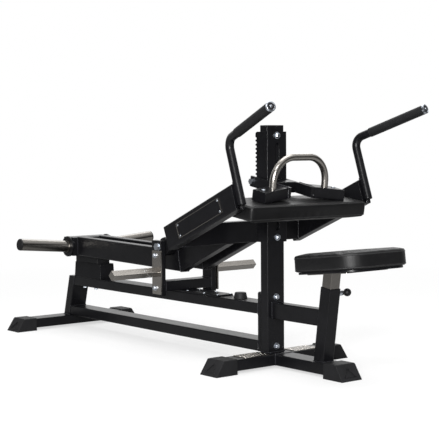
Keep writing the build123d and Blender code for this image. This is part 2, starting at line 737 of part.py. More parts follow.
with BuildPart() as yoke_cross_beam:
    beam_low = RAIL_TOP + BASE_T
    yoke_beam_plane = side_at(YOKE_X, (beam_low + YOKE_BEAM_TOP) / 2)
    add(tube(yoke_beam_plane, YOKE_D, YOKE_BEAM_TOP - beam_low, [wall_at(YOKE_IN, 1), wall_at(-YOKE_IN, -1)]))
yoke_cross_beam.part.label = "yoke_cross_beam"
export_step(yoke_cross_beam.part, "parts/yoke_cross_beam.step")

for side_name, facing in (("left", -1), ("right", 1)):
    with BuildPart() as yoke_upright:
        upright_mid = Plane(origin=(COLUMN_FACE + YOKE_X, facing * (YOKE_IN + YOKE_T / 2), YOKE_LOW))
        upright_caps = [Plane.XY.offset(YOKE_TOP), Plane(origin=(0, 0, YOKE_LOW), z_dir=(0, 0, -1))]
        add(tube(upright_mid, YOKE_D, YOKE_T, upright_caps, caps=(YOKE_CAP, 0)))
        with BuildSketch(pivot_plane):
            Circle(PIVOT_R)
        extrude(amount=2 * YOKE_OUT, both=True, mode=Mode.SUBTRACT)
    yoke_upright.part.label = f"yoke_upright_{side_name}"
    export_step(yoke_upright.part, f"parts/yoke_upright_{side_name}.step")

    with BuildPart() as storage_peg:
        plate_plane = Plane(
            origin=(COLUMN_FACE + PEG_PLATE_X, facing * YOKE_OUT, (PEG_PLATE_LOW + PEG_PLATE_HIGH) / 2),
            x_dir=(1, 0, 0), z_dir=(0, facing, 0),
        )
        with BuildSketch(plate_plane):
            RectangleRounded(PEG_PLATE_W, PEG_PLATE_HIGH - PEG_PLATE_LOW, CORNER)
        extrude(amount=PEG_PLATE_T)
        peg_plane = Plane(
            origin=(COLUMN_FACE + PEG_X, facing * YOKE_OUT, PEG_Z), x_dir=along(45), z_dir=(0, facing, 0)
        )
        peg_ends = [wall_at(facing * PEG_END, facing), wall_at(facing * (YOKE_OUT + PEG_PLATE_T), -facing)]
        add(tube(peg_plane, PEG_SIDE, PEG_SIDE, peg_ends, caps=(WALL, 0), radius=BAR_CORNER))
    storage_peg.part.label = f"storage_peg_{side_name}"
    export_step(storage_peg.part, f"parts/storage_peg_{side_name}.step")

with BuildPart() as pivot_bolt:
    with BuildSketch(pivot_plane):
        Circle(PIVOT_R)
    extrude(amount=YOKE_OUT, both=True)
    with BuildSketch(pivot_plane.offset(YOKE_OUT), pivot_plane.offset(-YOKE_OUT - WASHER_T)):
        Circle(WASHER_R)
    extrude(amount=WASHER_T)
    with BuildSketch(
        pivot_plane.offset(YOKE_OUT + WASHER_T), pivot_plane.offset(-YOKE_OUT - WASHER_T - PIVOT_HEAD_L)
    ):
        RegularPolygon(PIVOT_FLAT / 2, 6, major_radius=False)
    extrude(amount=PIVOT_HEAD_L)
pivot_bolt.part.label = "pivot_bolt"
export_step(pivot_bolt.part, "parts/pivot_bolt.step")

# ---------------------------------------------------------------------------
# Lever
# ---------------------------------------------------------------------------
with BuildPart() as lever_hub:
    with BuildSketch(pivot_plane):
        Circle(HUB_R)
        Circle(HUB_R - HUB_WALL, mode=Mode.SUBTRACT)
    extrude(amount=HUB_HALF, both=True)
lever_hub.part.label = "lever_hub"
export_step(lever_hub.part, "parts/lever_hub.step")

with BuildPart() as pivot_bushes:
    with BuildSketch(pivot_plane.offset(HUB_HALF)):
        Circle(HUB_R - BUSH_RIM)
    extrude(amount=BUSH_FLANGE_T)
    with BuildSketch(pivot_plane.offset(HUB_HALF)):
        Circle(HUB_R - HUB_WALL)
    extrude(amount=-BUSH_L)
    with BuildSketch(pivot_plane):
        Circle(PIVOT_R + PIN_FIT)
    extrude(amount=YOKE_IN, mode=Mode.SUBTRACT)
    mirror(about=Plane.XZ)
pivot_bushes.part.label = "pivot_bushes"
export_step(pivot_bushes.part, "parts/pivot_bushes.step")

# the rear beams and the rising forward tubes meet in a mitre under the hub
half_turn = (RISE - BEAM_FALL) / 2
rise_start = RISE_LOW_Z + (BEAM_D / 2) / cos(radians(RISE))
rise_slope = tan(radians(RISE))
fall_slope = tan(radians(BEAM_FALL))
mitre_x = (BEAM_Z - PIVOT_X * fall_slope - rise_start + RISE_LOW_X * rise_slope) / (rise_slope - fall_slope)
mitre = cut(mitre_x, beam_z(mitre_x), BEAM_FALL + half_turn)
cross_rear = CROSS_FRONT - CROSS_D

for side_name, facing in (("left", -1), ("right", 1)):
    with BuildPart() as rear_beam:
        beam_plane = section(PIVOT_X, facing * BEAM_Y, BEAM_Z, BEAM_FALL)
        add(tube(beam_plane, BEAM_T, BEAM_D, [cut(CARRIER_FRONT, 0, 180), mitre]))
        with BuildSketch(pivot_plane):
            Circle(HUB_R)
        extrude(amount=2 * BEAM_Y, both=True, mode=Mode.SUBTRACT)
    rear_beam.part.label = f"rear_beam_{side_name}"
    export_step(rear_beam.part, f"parts/rear_beam_{side_name}.step")

    with BuildPart() as forward_tube:
        forward_plane = section(mitre_x, facing * BEAM_Y, beam_z(mitre_x), RISE)
        add(tube(forward_plane, BEAM_T, BEAM_D, [-mitre, cut(CROSS_FRONT, 0, 0)]))
        with BuildSketch(side(2 * BEAM_Y)):
            with Locations((cross_rear, CROSS_LOW)):
                Rectangle(CROSS_D + OVERCUT, 2 * CROSS_H, align=(Align.MIN, Align.MIN))
        extrude(amount=4 * BEAM_Y, mode=Mode.SUBTRACT)
        with BuildSketch(pivot_plane):
            Circle(HUB_R)
        extrude(amount=2 * BEAM_Y, both=True, mode=Mode.SUBTRACT)
    forward_tube.part.label = f"forward_tube_{side_name}"
    export_step(forward_tube.part, f"parts/forward_tube_{side_name}.step")

# horn carrier across the rear, with a collar disc at each end
with BuildPart() as horn_carrier:
    carrier_mid = CARRIER_FRONT - CARRIER_W / 2
    carrier_plane = side_at(carrier_mid, CARRIER_Z)
    carrier_ends = [wall_at(CARRIER_HALF, 1), wall_at(-CARRIER_HALF, -1)]
    add(tube(carrier_plane, CARRIER_W, CARRIER_W, carrier_ends, wall=CARRIER_WALL))
    horn_axis = Plane(origin=(COLUMN_FACE + carrier_mid, 0, CARRIER_Z), x_dir=(1, 0, 0), z_dir=(0, 1, 0))
    with BuildSketch(horn_axis.offset(CARRIER_HALF), horn_axis.offset(-CARRIER_HALF - COLLAR_T)):
        Circle(COLLAR_R)
    extrude(amount=COLLAR_T)
horn_carrier.part.label = "horn_carrier"
export_step(horn_carrier.part, "parts/horn_carrier.step")

for side_name, facing in (("left", -1), ("right", 1)):
    collar_face = CARRIER_HALF + COLLAR_T
    horn_out = Vector(0, facing * cos(radians(HORN_RISE)), sin(radians(HORN_RISE)))
    horn_root = (COLUMN_FACE + carrier_mid, facing * collar_face, CARRIER_Z)
    horn_plane = Plane(origin=horn_root, x_dir=(1, 0, 0), z_dir=horn_out)
    horn_length = (HORN_END - collar_face) / cos(radians(HORN_RISE))
    with BuildPart() as weight_horn:
        with BuildSketch(horn_plane.offset(-HORN_CAP_L)):
            Circle(HORN_R)
        extrude(amount=HORN_CAP_L + horn_length)
        with BuildSketch(horn_plane.offset(-HORN_CAP_L)):
            Circle(HORN_SHOULDER_R)
        extrude(amount=HORN_CAP_L + HORN_SHOULDER_L)
        split(bisect_by=wall_at(facing * collar_face, facing), keep=Keep.TOP)
    weight_horn.part.label = f"weight_horn_{side_name}"
    export_step(weight_horn.part, f"parts/weight_horn_{side_name}.step")

with BuildPart() as horn_caps:
    with BuildSketch(horn_plane.offset(horn_length)):
        Circle(HORN_CAP_R)
    extrude(amount=HORN_CAP_L)
    chamfer(horn_caps.faces().sort_by(Axis((0, 0, 0), horn_out))[-1].edges(), length=EASED)
    mirror(about=Plane.XZ)
horn_caps.part.label = "horn_caps"
export_step(horn_caps.part, "parts/horn_caps.step")

with BuildPart() as lever_cross_beam:
    cross_mid = side_at(CROSS_FRONT - CROSS_D / 2, CROSS_LOW + CROSS_H / 2)
    add(tube(cross_mid, CROSS_D, CROSS_H, [wall_at(CROSS_HALF, 1), wall_at(-CROSS_HALF, -1)]))
lever_cross_beam.part.label = "lever_cross_beam"
export_step(lever_cross_beam.part, "parts/lever_cross_beam.step")

# each side arm ends in a shallow seat for its handle tube
handle_foot = Vector(COLUMN_FACE + HANDLE_LOW[0], ARM_Y, HANDLE_LOW[1])
handle_corner = Vector(COLUMN_FACE + HANDLE_BEND[0], ARM_Y, HANDLE_BEND[1])
handle_tip = Vector(COLUMN_FACE + HANDLE_TIP[0], ARM_Y + HANDLE_SPREAD, HANDLE_TIP[1])
lower_way = (handle_corner - handle_foot).normalized()
upper_way = (handle_tip - handle_corner).normalized()
arm_facing = Vector(lower_way.Z, 0, -lower_way.X)
arm_front = Plane(origin=handle_foot - arm_facing * (HANDLE_R - ARM_SEAT), x_dir=(0, 1, 0), z_dir=arm_facing)
arm_rear = cut(ARM_BACK, arm_z(ARM_BACK), ARM_RISE + 180)

with BuildPart() as side_arm_right:
    arm_plane = section(ARM_X, ARM_Y, ARM_Z, ARM_RISE)
    add(tube(arm_plane, ARM_T, ARM_D, [arm_rear, arm_front], caps=(WALL, WALL)))
    with BuildSketch(Plane(origin=handle_foot, z_dir=lower_way)):
        Circle(HANDLE_R)
    extrude(amount=HANDLE_BEND[1] - HANDLE_LOW[1], both=True, mode=Mode.SUBTRACT)
side_arm_right.part.label = "side_arm_right"
export_step(side_arm_right.part, "parts/side_arm_right.step")

with BuildPart() as side_arm_left:
    mirror(side_arm_right.part, about=Plane.XZ)
side_arm_left.part.label = "side_arm_left"
export_step(side_arm_left.part, "parts/side_arm_left.step")

grip_end = handle_tip - upper_way * CAP_L

with BuildPart() as handle_right:
    with BuildLine():
        FilletPolyline(handle_foot, handle_corner, grip_end, radius=HANDLE_BEND_R)
    with BuildSketch(Plane(origin=handle_foot, z_dir=lower_way)):
        Circle(HANDLE_R)
        Circle(HANDLE_R - HANDLE_WALL, mode=Mode.SUBTRACT)
    sweep()
handle_right.part.label = "handle_right"
export_step(handle_right.part, "parts/handle_right.step")

with BuildPart() as grip_right:
    with BuildSketch(Plane(origin=handle_corner + upper_way * GRIP_START, z_dir=upper_way)):
        Circle(GRIP_R)
        Circle(HANDLE_R, mode=Mode.SUBTRACT)
    extrude(amount=(grip_end - handle_corner).length - GRIP_START)
grip_right.part.label = "grip_right"
export_step(grip_right.part, "parts/grip_right.step")

with BuildPart() as grip_caps:
    with BuildSketch(Plane(origin=grip_end, z_dir=upper_way)):
        Circle(GRIP_R)
    extrude(amount=CAP_L)
    chamfer(grip_caps.faces().sort_by(Axis((0, 0, 0), upper_way))[-1].edges(), length=EASED)
    with BuildSketch(Plane(origin=grip_end, z_dir=upper_way)):
        Circle(HANDLE_R - HANDLE_WALL)
    extrude(amount=-2 * CAP_L)
    mirror(about=Plane.XZ)
grip_caps.part.label = "grip_caps"
export_step(grip_caps.part, "parts/grip_caps.step")

for piece_name, piece in (("handle", handle_right), ("grip", grip_right)):
    with BuildPart() as mirrored:
        mirror(piece.part, about=Plane.XZ)
    mirrored.part.label = f"{piece_name}_left"
    export_step(mirrored.part, f"parts/{piece_name}_left.step")

with BuildPart() as badge_plate:
    badge_point = (COLUMN_FACE + BADGE_X, -CROSS_HALF - ARM_T, arm_z(BADGE_X))
    badge_plane = Plane(origin=badge_point, x_dir=along(ARM_RISE), z_dir=(0, -1, 0))
    with BuildSketch(badge_plane):
        RectangleRounded(BADGE_L, BADGE_H, CORNER)
    extrude(amount=BADGE_T)
badge_plate.part.label = "badge_plate"
export_step(badge_plate.part, "parts/badge_plate.step")

# ---------------------------------------------------------------------------
# Rear rest and front bumper
# ---------------------------------------------------------------------------
rest_pad_top = CARRIER_Z - CARRIER_W / 2 - SOFT_GAP

with BuildPart() as rest_block:
    with BuildSketch(level(RAIL_TOP)):
        with Locations(((REST_BACK + REST_FRONT) / 2, 0)):
            RectangleRounded(REST_FRONT - REST_BACK, 2 * REST_HALF, CORNER)
    extrude(amount=REST_TOP - RAIL_TOP, taper=REST_TAPER)
rest_block.part.label = "rest_block"
export_step(rest_block.part, "parts/rest_block.step")

with BuildPart() as rest_pad:
    with BuildSketch(level(REST_TOP)):
        with Locations(((REST_PAD_BACK + REST_PAD_FRONT) / 2, 0)):
            RectangleRounded(REST_PAD_FRONT - REST_PAD_BACK, 2 * REST_PAD_HALF, CORNER)
    extrude(amount=rest_pad_top - REST_TOP)
    chamfer(rest_pad.edges().group_by(Axis.Z)[-1], length=EASED)
rest_pad.part.label = "rest_pad"
export_step(rest_pad.part, "parts/rest_pad.step")

with BuildPart() as front_bumper:
    with Locations(level(RAIL_TOP)):
        with Locations((BUMPER_X, 0)):
            Cone(BUMPER_R, BUMPER_TOP_R, BUMPER_H, align=(Align.CENTER, Align.CENTER, Align.MIN))
    chamfer(front_bumper.edges().group_by(Axis.Z)[-1], length=EASED)
front_bumper.part.label = "front_bumper"
export_step(front_bumper.part, "parts/front_bumper.step")
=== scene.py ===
import math

import bmesh
import bpy
from bpy.props import FloatProperty, FloatVectorProperty, IntProperty, PointerProperty
from bpy.types import Operator, Panel, PropertyGroup
from mathutils import Matrix, Vector, noise


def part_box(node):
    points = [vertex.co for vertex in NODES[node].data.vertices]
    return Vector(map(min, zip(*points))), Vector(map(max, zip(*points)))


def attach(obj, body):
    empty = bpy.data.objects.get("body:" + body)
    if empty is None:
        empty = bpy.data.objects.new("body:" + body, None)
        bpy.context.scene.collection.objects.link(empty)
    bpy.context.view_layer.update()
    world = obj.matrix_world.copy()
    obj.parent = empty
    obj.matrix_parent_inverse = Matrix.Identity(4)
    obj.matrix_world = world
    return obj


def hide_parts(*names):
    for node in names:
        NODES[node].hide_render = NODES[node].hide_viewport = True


bl_info = {
    "name": "Seated Press Machine",
    "version": (1, 0, 0),
    "blender": (4, 5, 0),
    "location": "View3D > Sidebar > Press Machine",
    "description": "Dresses the press machine's frame with finishes, cushions, bolts and welds",
    "category": "Object",
}

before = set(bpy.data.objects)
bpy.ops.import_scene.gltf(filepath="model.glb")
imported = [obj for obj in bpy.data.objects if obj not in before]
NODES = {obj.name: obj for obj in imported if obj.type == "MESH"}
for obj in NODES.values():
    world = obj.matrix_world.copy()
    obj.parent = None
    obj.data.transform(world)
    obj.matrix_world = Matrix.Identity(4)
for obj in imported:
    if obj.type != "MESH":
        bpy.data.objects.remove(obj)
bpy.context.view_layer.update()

# Fixed places of the machine, in metres and radians, in the frame's own axes
COLUMN_FACE = 0.439408
RACK_FACE = COLUMN_FACE + 0.008
TUBE_HALF = 0.040
BRACE_HALF = 0.020
BAR_BOTTOM, BAR_TOP = 0.013, 0.051
RAIL_TOP = 0.227
RAIL_DEPTH = 0.040
UPPER_RAIL = (RAIL_TOP - RAIL_DEPTH, RAIL_TOP)
LOWER_RAIL = (0.053, 0.091)
SEAT_BRACE = (0.173, 0.232)
YOKE_PLATE_TOP = RAIL_TOP + 0.006
YOKE_X = COLUMN_FACE - 0.549
YOKE_HALF = 0.030
YOKE_INNER, YOKE_OUTER = 0.112, 0.142
ARM_RISE = math.radians(22.7)

# Cushions: plans as round_outline takes them, origins and tilts of their axes
SEAT_PLAN = (-0.013, 0.2686, 0.153, 0.086, 0.011)
SEAT_TILT = math.radians(6.3)
SEAT_ORIGIN = Vector((COLUMN_FACE + 0.277, 0.0, 0.358))
THIGH_TILT = math.radians(-7.9)
THIGH_ORIGIN = Vector((COLUMN_FACE + 0.019, 0.0, 0.617))
THIGH_LENGTH = (0.1845 - 0.019) / math.cos(THIGH_TILT)
THIGH_PLAN = (0.0, THIGH_LENGTH + 0.005, 0.272, 0.009, 0.009)
SEAM_SPACING = 0.005
SEAM_SINK = 0.0004
CLOTH_FRAMES = 20

SHARP_ANGLE = math.radians(38)
SIDES = (-1, 1)
LARGE_HEAD, SMALL_HEAD, LOW_HEAD = 0.0075, 0.007, 0.006


# ---------------------------------------------------------------------------
# Settings
# ---------------------------------------------------------------------------
class PRESS_PG_finish(PropertyGroup):
    """Colours and sheen of the machine's finishes"""
    coat_colour: FloatVectorProperty(
        name="Powder Coat", description="Colour of the coated steel", subtype="COLOR",
        default=(0.0050, 0.0050, 0.0060), min=0.0, max=1.0)
    coat_roughness: FloatProperty(
        name="Coat Roughness", description="Sheen of the coated steel", default=0.3,
        min=0.0, max=1.0, subtype="FACTOR")
    steel_colour: FloatVectorProperty(
        name="Stainless", description="Colour of the brushed stainless steel", subtype="COLOR",
        default=(0.37, 0.35, 0.325), min=0.0, max=1.0)
    zinc_colour: FloatVectorProperty(
        name="Zinc", description="Colour of the bright bolts", subtype="COLOR",
        default=(0.6, 0.64, 0.7), min=0.0, max=1.0)
    rubber_colour: FloatVectorProperty(
        name="Rubber", description="Colour of boots, grips and bumpers", subtype="COLOR",
        default=(0.0075, 0.0075, 0.0085), min=0.0, max=1.0)
    vinyl_colour: FloatVectorProperty(
        name="Upholstery", description="Colour of the cushion covers", subtype="COLOR",
        default=(0.0048, 0.0048, 0.0052), min=0.0, max=1.0)


class PRESS_PG_cushion(PropertyGroup):
    """Sizes of the upholstery"""
    voxel: FloatProperty(
        name="Mesh Size", description="Cell size of the stuffed covers", default=0.0045,
        min=0.003, max=0.02, unit="LENGTH")
    pressure: FloatProperty(
        name="Pressure", description="Stuffing pressure", default=3.0, min=0.0, max=20.0)
    swell: FloatProperty(
        name="Swell Limit", description="How far the stuffing may move the cover", default=0.006,
        min=0.0, max=0.03, unit="LENGTH")
    shrink: FloatProperty(
        name="Undersize", description="How much smaller the cover starts than its space", default=0.0015,
        min=0.0, max=0.02, unit="LENGTH")
    piping: FloatProperty(
        name="Seam Bead", description="Radius of the sewn edge bead", default=0.0021,
        min=0.0005, max=0.01, unit="LENGTH")


class PRESS_PG_fixings(PropertyGroup):
    """Sizes of bolts and weld beads"""
    bead: FloatProperty(
        name="Weld Bead", description="Radius of the weld beads", default=0.0027,
        min=0.0005, max=0.01, unit="LENGTH")
    ripple: FloatProperty(
        name="Ripple", description="Pitch of the weld's ripples", default=0.0042,
        min=0.001, max=0.02, unit="LENGTH")
    large_flat: FloatProperty(
        name="Large Bolt", description="Width across flats of the frame bolts", default=0.017,
        min=0.005, max=0.05, unit="LENGTH")
    small_flat: FloatProperty(
        name="Small Bolt", description="Width across flats of the plate bolts", default=0.014,
        min=0.005, max=0.05, unit="LENGTH")
    sides: IntProperty(
        name="Bead Sides", description="Sides of a weld bead", default=6, min=4, max=16)


class PRESS_PG_studio(PropertyGroup):
    """Camera and lamps"""
    lens: FloatProperty(
        name="Lens", description="Focal length", default=100.81, min=10.0, max=300.0, unit="CAMERA")
    eye: FloatVectorProperty(
        name="Eye", description="Camera position", default=(3.36946 + COLUMN_FACE, -2.94505, 0.80569),
        subtype="TRANSLATION", unit="LENGTH")
    heading: FloatProperty(
        name="Heading", description="Camera heading from +X", default=2.46857, subtype="ANGLE")
    pitch: FloatProperty(
        name="Pitch", description="Camera pitch above level", default=-0.06352, subtype="ANGLE")
    roll: FloatProperty(
        name="Roll", description="Camera roll", default=-0.00701, subtype="ANGLE")
    key: FloatProperty(
        name="Key Lamp", description="Power of the key lamp", default=75.0,
        min=0.0, max=2000.0, unit="POWER")
    fill: FloatProperty(
        name="Fill Lamp", description="Power of the low front lamp", default=170.0,
        min=0.0, max=2000.0, unit="POWER")
    back: FloatProperty(
        name="Back Lamp", description="Power of the rear lamp", default=38.0,
        min=0.0, max=2000.0, unit="POWER")
    surround: FloatProperty(
        name="Surround", description="Strength of the room's even light", default=0.4,
        min=0.0, max=2.0)
    top: FloatProperty(
        name="Top Lamp", description="Power of the overhead lamp", default=75.0,
        min=0.0, max=2000.0, unit="POWER")


# ---------------------------------------------------------------------------
# Shader building
# ---------------------------------------------------------------------------
def node(tree, kind, operation=None, **inputs):
    """A node with its operation and named inputs: a value is set and a socket is linked."""
    made = tree.nodes.new(kind)
    if operation:
        made.operation = operation
    for name, value in inputs.items():
        socket = made.inputs[int(name[1:]) if name[1:].isdigit() else name.replace("_", " ")]
        if isinstance(value, bpy.types.NodeSocket):
            tree.links.new(value, socket)
        else:
            socket.default_value = value
    return made


def shade(colour, factor):
    """The colour made darker or lighter."""
    return tuple(min(1.0, channel * factor) for channel in colour)


class Shader:
    """A node material built piece by piece, on object coordinates."""

    def __init__(self, name, colour, roughness, metallic=0.0, specular=0.5):
        self.material = bpy.data.materials.new(name)
        self.material.use_nodes = True
        self.tree = self.material.node_tree
        self.colour = colour
        self.surface = self.tree.nodes["Principled BSDF"]
        self.surface.inputs["Base Color"].default_value = (*colour, 1.0)
        self.surface.inputs["Roughness"].default_value = roughness
        self.surface.inputs["Metallic"].default_value = metallic
        self.surface.inputs["Specular IOR Level"].default_value = specular
        self.place = node(self.tree, "ShaderNodeTexCoord").outputs["Object"]
        self.normal = None

    def feed(self, socket, source):
        """Drives one of the surface's inputs."""
        self.tree.links.new(source, self.surface.inputs[socket])

    def stretched(self, scale):
        """Object coordinates scaled apart along each axis."""
        return node(self.tree, "ShaderNodeMapping", Vector=self.place, Scale=scale).outputs["Vector"]

    def noise(self, scale, detail=3.0, roughness=0.55, vector=None):
        made = node(self.tree, "ShaderNodeTexNoise", Scale=scale, Detail=detail, Roughness=roughness,
                    Vector=vector or self.place)
        return made.outputs["Fac"]

    def cells(self, scale, feature="F1"):
        made = node(self.tree, "ShaderNodeTexVoronoi", Scale=scale, Vector=self.place)
        made.feature = feature
        return made.outputs["Distance"]

    def mottle(self, source, dark, light, stops=(0.3, 0.7)):
        """The base colour runs from dark to light, as shares of itself, with a texture's value."""
        made = node(self.tree, "ShaderNodeValToRGB", Fac=source)
        for element, stop, factor in zip(made.color_ramp.elements, stops, (dark, light)):
            element.position = stop
            element.color = (*shade(self.colour, factor), 1.0)
        self.feed("Base Color", made.outputs["Color"])

    def vary_roughness(self, source, low, high):
        """The roughness runs from low to high with a texture's value."""
        made = node(self.tree, "ShaderNodeMapRange", Value=source, To_Min=low, To_Max=high)
        self.feed("Roughness", made.outputs["Result"])

    def tilt_normal(self, made):
        """A node's normal becomes the surface's."""
        self.normal = made.outputs["Normal"]
        self.feed("Normal", self.normal)

    def bump(self, source, strength, distance):
        """Raises the surface by a texture's value, on top of the bumps made before."""
        made = node(self.tree, "ShaderNodeBump", Height=source, Strength=strength, Distance=distance)
        if self.normal is not None:
            self.tree.links.new(self.normal, made.inputs["Normal"])
        self.tilt_normal(made)

    def soften_edges(self, radius):
        """Edges catch the light as if slightly rounded."""
        made = node(self.tree, "ShaderNodeBevel", Radius=radius)
        made.samples = 4
        self.tilt_normal(made)


def powder_coat(name, colour, roughness):
    """Black powder coat: fine orange peel, faint mottling and softly lit edges."""
    coat = Shader(name, colour, roughness, specular=0.22)
    coat.soften_edges(0.003)
    coat.mottle(coat.noise(14.0, 4.0), dark=0.8, light=1.25)
    coat.vary_roughness(coat.noise(60.0), roughness - 0.06, roughness + 0.06)
    coat.bump(coat.noise(900.0, 2.0), strength=0.35, distance=0.00012)
    return coat.material


def brushed_steel(name, colour, grain, roughness):
    """Brushed steel with fine lines along one axis; grain scales the object axes."""
    steel = Shader(name, colour, roughness, metallic=1.0)
    lines = steel.noise(1.0, 5.0, 0.7, steel.stretched(grain))
    steel.mottle(lines, dark=0.8, light=1.12, stops=(0.25, 0.75))
    steel.vary_roughness(lines, roughness - 0.08, roughness + 0.1)
    steel.bump(lines, strength=0.12, distance=0.0003)
    steel.surface.inputs["Anisotropic"].default_value = 0.4
    return steel.material


def zinc_plate(name, colour):
    """Bright zinc with slight clouding."""
    zinc = Shader(name, colour, 0.3, metallic=1.0)
    zinc.mottle(zinc.noise(160.0), dark=0.8, light=1.15)
    zinc.bump(zinc.noise(900.0), strength=0.08, distance=0.0002)
    return zinc.material


def moulded_rubber(name, colour, roughness):
    """Matt rubber or plastic with a fine sparked texture."""
    rubber = Shader(name, colour, roughness, specular=0.3)
    rubber.soften_edges(0.003)
    rubber.mottle(rubber.noise(22.0, 4.0), dark=0.8, light=1.3)
    rubber.bump(rubber.noise(1400.0, 2.0), strength=0.3, distance=0.00006)
    return rubber.material


def knurled_rubber(name, colour):
    """Grip rubber with a fine knurl."""
    rubber = Shader(name, colour, 0.62, specular=0.25)
    rubber.mottle(rubber.noise(30.0, 4.0), dark=0.8, light=1.3)
    rubber.bump(rubber.cells(520.0), strength=0.2, distance=0.00008)
    return rubber.material


def vinyl(name, colour):
    """Upholstery vinyl: pebbled grain, soft creases and a low sheen."""
    cover = Shader(name, colour, 0.46, specular=0.26)
    cover.mottle(cover.noise(18.0, 4.0), dark=0.85, light=1.25)
    cover.vary_roughness(cover.noise(45.0), 0.4, 0.54)
    cover.bump(cover.noise(26.0), strength=0.14, distance=0.002)
    cover.bump(cover.cells(620.0, "DISTANCE_TO_EDGE"), strength=0.35, distance=0.00018)
    return cover.material


def stitching(name, colour):
    """Sewn edge bead with thread marks, a little lighter than its cover."""
    thread = Shader(name, colour, 0.55)
    thread.mottle(thread.noise(300.0, 2.0), dark=1.1, light=2.0)
    thread.bump(thread.noise(1200.0, 2.0), strength=0.4, distance=0.0004)
    return thread.material


ALONG_Y = (900.0, 12.0, 900.0)
ALONG_Z = (900.0, 900.0, 12.0)
UNIFORM = (60.0, 60.0, 60.0)
FINISHES = {
    "coat": lambda name, look: powder_coat(name, look.coat_colour, look.coat_roughness),
    # Weld beads: the coat three times lighter, a painted highlight on the beads, and glossier.
    "weld": lambda name, look: powder_coat(name, shade(look.coat_colour, 3.0), 0.22),
    "steel_y": lambda name, look: brushed_steel(name, look.steel_colour, ALONG_Y, 0.24),
    # A darker copy of the stainless for the horns and the seat plate: painted shade for their dimmer
    # reflections.
    "steel_painted_shade": lambda name, look: brushed_steel(name, shade(look.steel_colour, 0.66), ALONG_Y, 0.2),
    # A still darker copy of the stainless for the seat post: painted shade for its dimmer reflections; its
    # grain runs along Z.
    "steel_z_painted_shade": lambda name, look: brushed_steel(name, shade(look.steel_colour, 0.58), ALONG_Z, 0.2),
    "chrome": lambda name, look: brushed_steel(name, shade(look.zinc_colour, 0.9), UNIFORM, 0.16),
    "zinc": lambda name, look: zinc_plate(name, look.zinc_colour),
    "rubber": lambda name, look: moulded_rubber(name, look.rubber_colour, 0.6),
    "plastic": lambda name, look: moulded_rubber(name, shade(look.rubber_colour, 0.8), 0.45),
    "grip": lambda name, look: knurled_rubber(name, shade(look.rubber_colour, 0.8)),
    "vinyl": lambda name, look: vinyl(name, look.vinyl_colour),
    "seam": lambda name, look: stitching(name, look.vinyl_colour),
}


def finish(settings, key):
    """A finish by its key, made once. The prefix keeps it apart from the frame's own materials."""
    name = f"press_{key}"
    return bpy.data.materials.get(name) or FINISHES[key](name, settings.press_finish)


def paint(piece, material):
    """The piece wears one material."""
    piece.data.materials.clear()
    piece.data.materials.append(material)


# ---------------------------------------------------------------------------
# Mesh building
# ---------------------------------------------------------------------------
def from_bmesh(name, form):
    """The form as a mesh; the form is freed."""
    mesh = bpy.data.meshes.new(name)
    form.normal_update()
    form.to_mesh(mesh)
    form.free()
    return mesh


def mesh_piece(name, form, key, body, smooth=True):
    """A piece made from a form: it rides a body and wears the finish of that key."""
    mesh = from_bmesh(name, form)
    piece = bpy.data.objects.new(name, mesh)
    bpy.context.scene.collection.objects.link(piece)
    paint(piece, finish(bpy.context.scene, key))
    if smooth:
        for face in mesh.polygons:
            face.use_smooth = True
        mesh.set_sharp_from_angle(angle=SHARP_ANGLE)
    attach(piece, body)
    return piece


def axes(point, direction, ahead=Vector((1.0, 0.0, 0.0))):
    """Transform whose Z is direction at a point, and whose X is as near to ahead as it can be."""
    up = Vector(direction).normalized()
    across = Vector(ahead) - up * up.dot(Vector(ahead))
    if across.length < 1e-4:
        across = up.orthogonal()
    across.normalize()
    turn = Matrix((across, up.cross(across), up)).transposed().to_4x4()
    return Matrix.Translation(point) @ turn


def circle(sides):
    """Cosine and sine of each corner of a regular polygon."""
    angles = [2 * math.pi * step / sides for step in range(sides)]
    return [(math.cos(angle), math.sin(angle)) for angle in angles]


def tube_ring(form, point, side, other, radius, sides):
    """Points round a path's point, in the plane of two directions."""
    return [form.verts.new(point + side * radius * c + other * radius * s) for c, s in circle(sides)]


def bridge(form, rings, closed=False, capped=False):
    """Faces from each ring of points to the next, and over both ends if they are capped."""
    for low, high in zip(rings, rings[1:] + (rings[:1] if closed else [])):
        for step in range(len(low)):
            nxt = (step + 1) % len(low)
            form.faces.new((low[step], low[nxt], high[nxt], high[step]))
    if capped:
        form.faces.new(list(reversed(rings[0])))
        form.faces.new(rings[-1])


def lathe(form, place, outline, sides):
    """Adds a turned shape: outline is (radius, height) pairs."""
    bridge(form, [
        [form.verts.new(place @ Vector((radius * c, radius * s, height))) for c, s in circle(sides)]
        for radius, height in outline], capped=True)


def hex_bolt(form, place, flat, height, washer=0.0017):
    """Adds a washer, a hex head with a turned crown and a shallow centre dimple."""
    corner = flat / math.sqrt(3)
    lathe(form, place, [(corner * 1.28, 0.0), (corner * 1.28, 0.0012), (corner * 1.2, washer)], 24)
    crown = washer + height
    lathe(form, place, [(corner, washer), (corner, washer + height * 0.86), (corner * 0.86, crown)], 6)
    lathe(form, place, [(corner * 0.62, crown), (corner * 0.58, crown + 0.0004)], 20)


def dome_bolt(form, place, radius, height, rim=0.3, steps=5):
    """Adds a round head with a soft dome over a straight rim, which is a share of its height."""
    outline = [(radius, 0.0), (radius, height * rim)]
    for step in range(1, steps):
        angle = math.pi / 2 * step / steps
        outline.append((radius * math.cos(angle), height * (rim + (1 - rim) * math.sin(angle))))
    lathe(form, place, outline, 24)


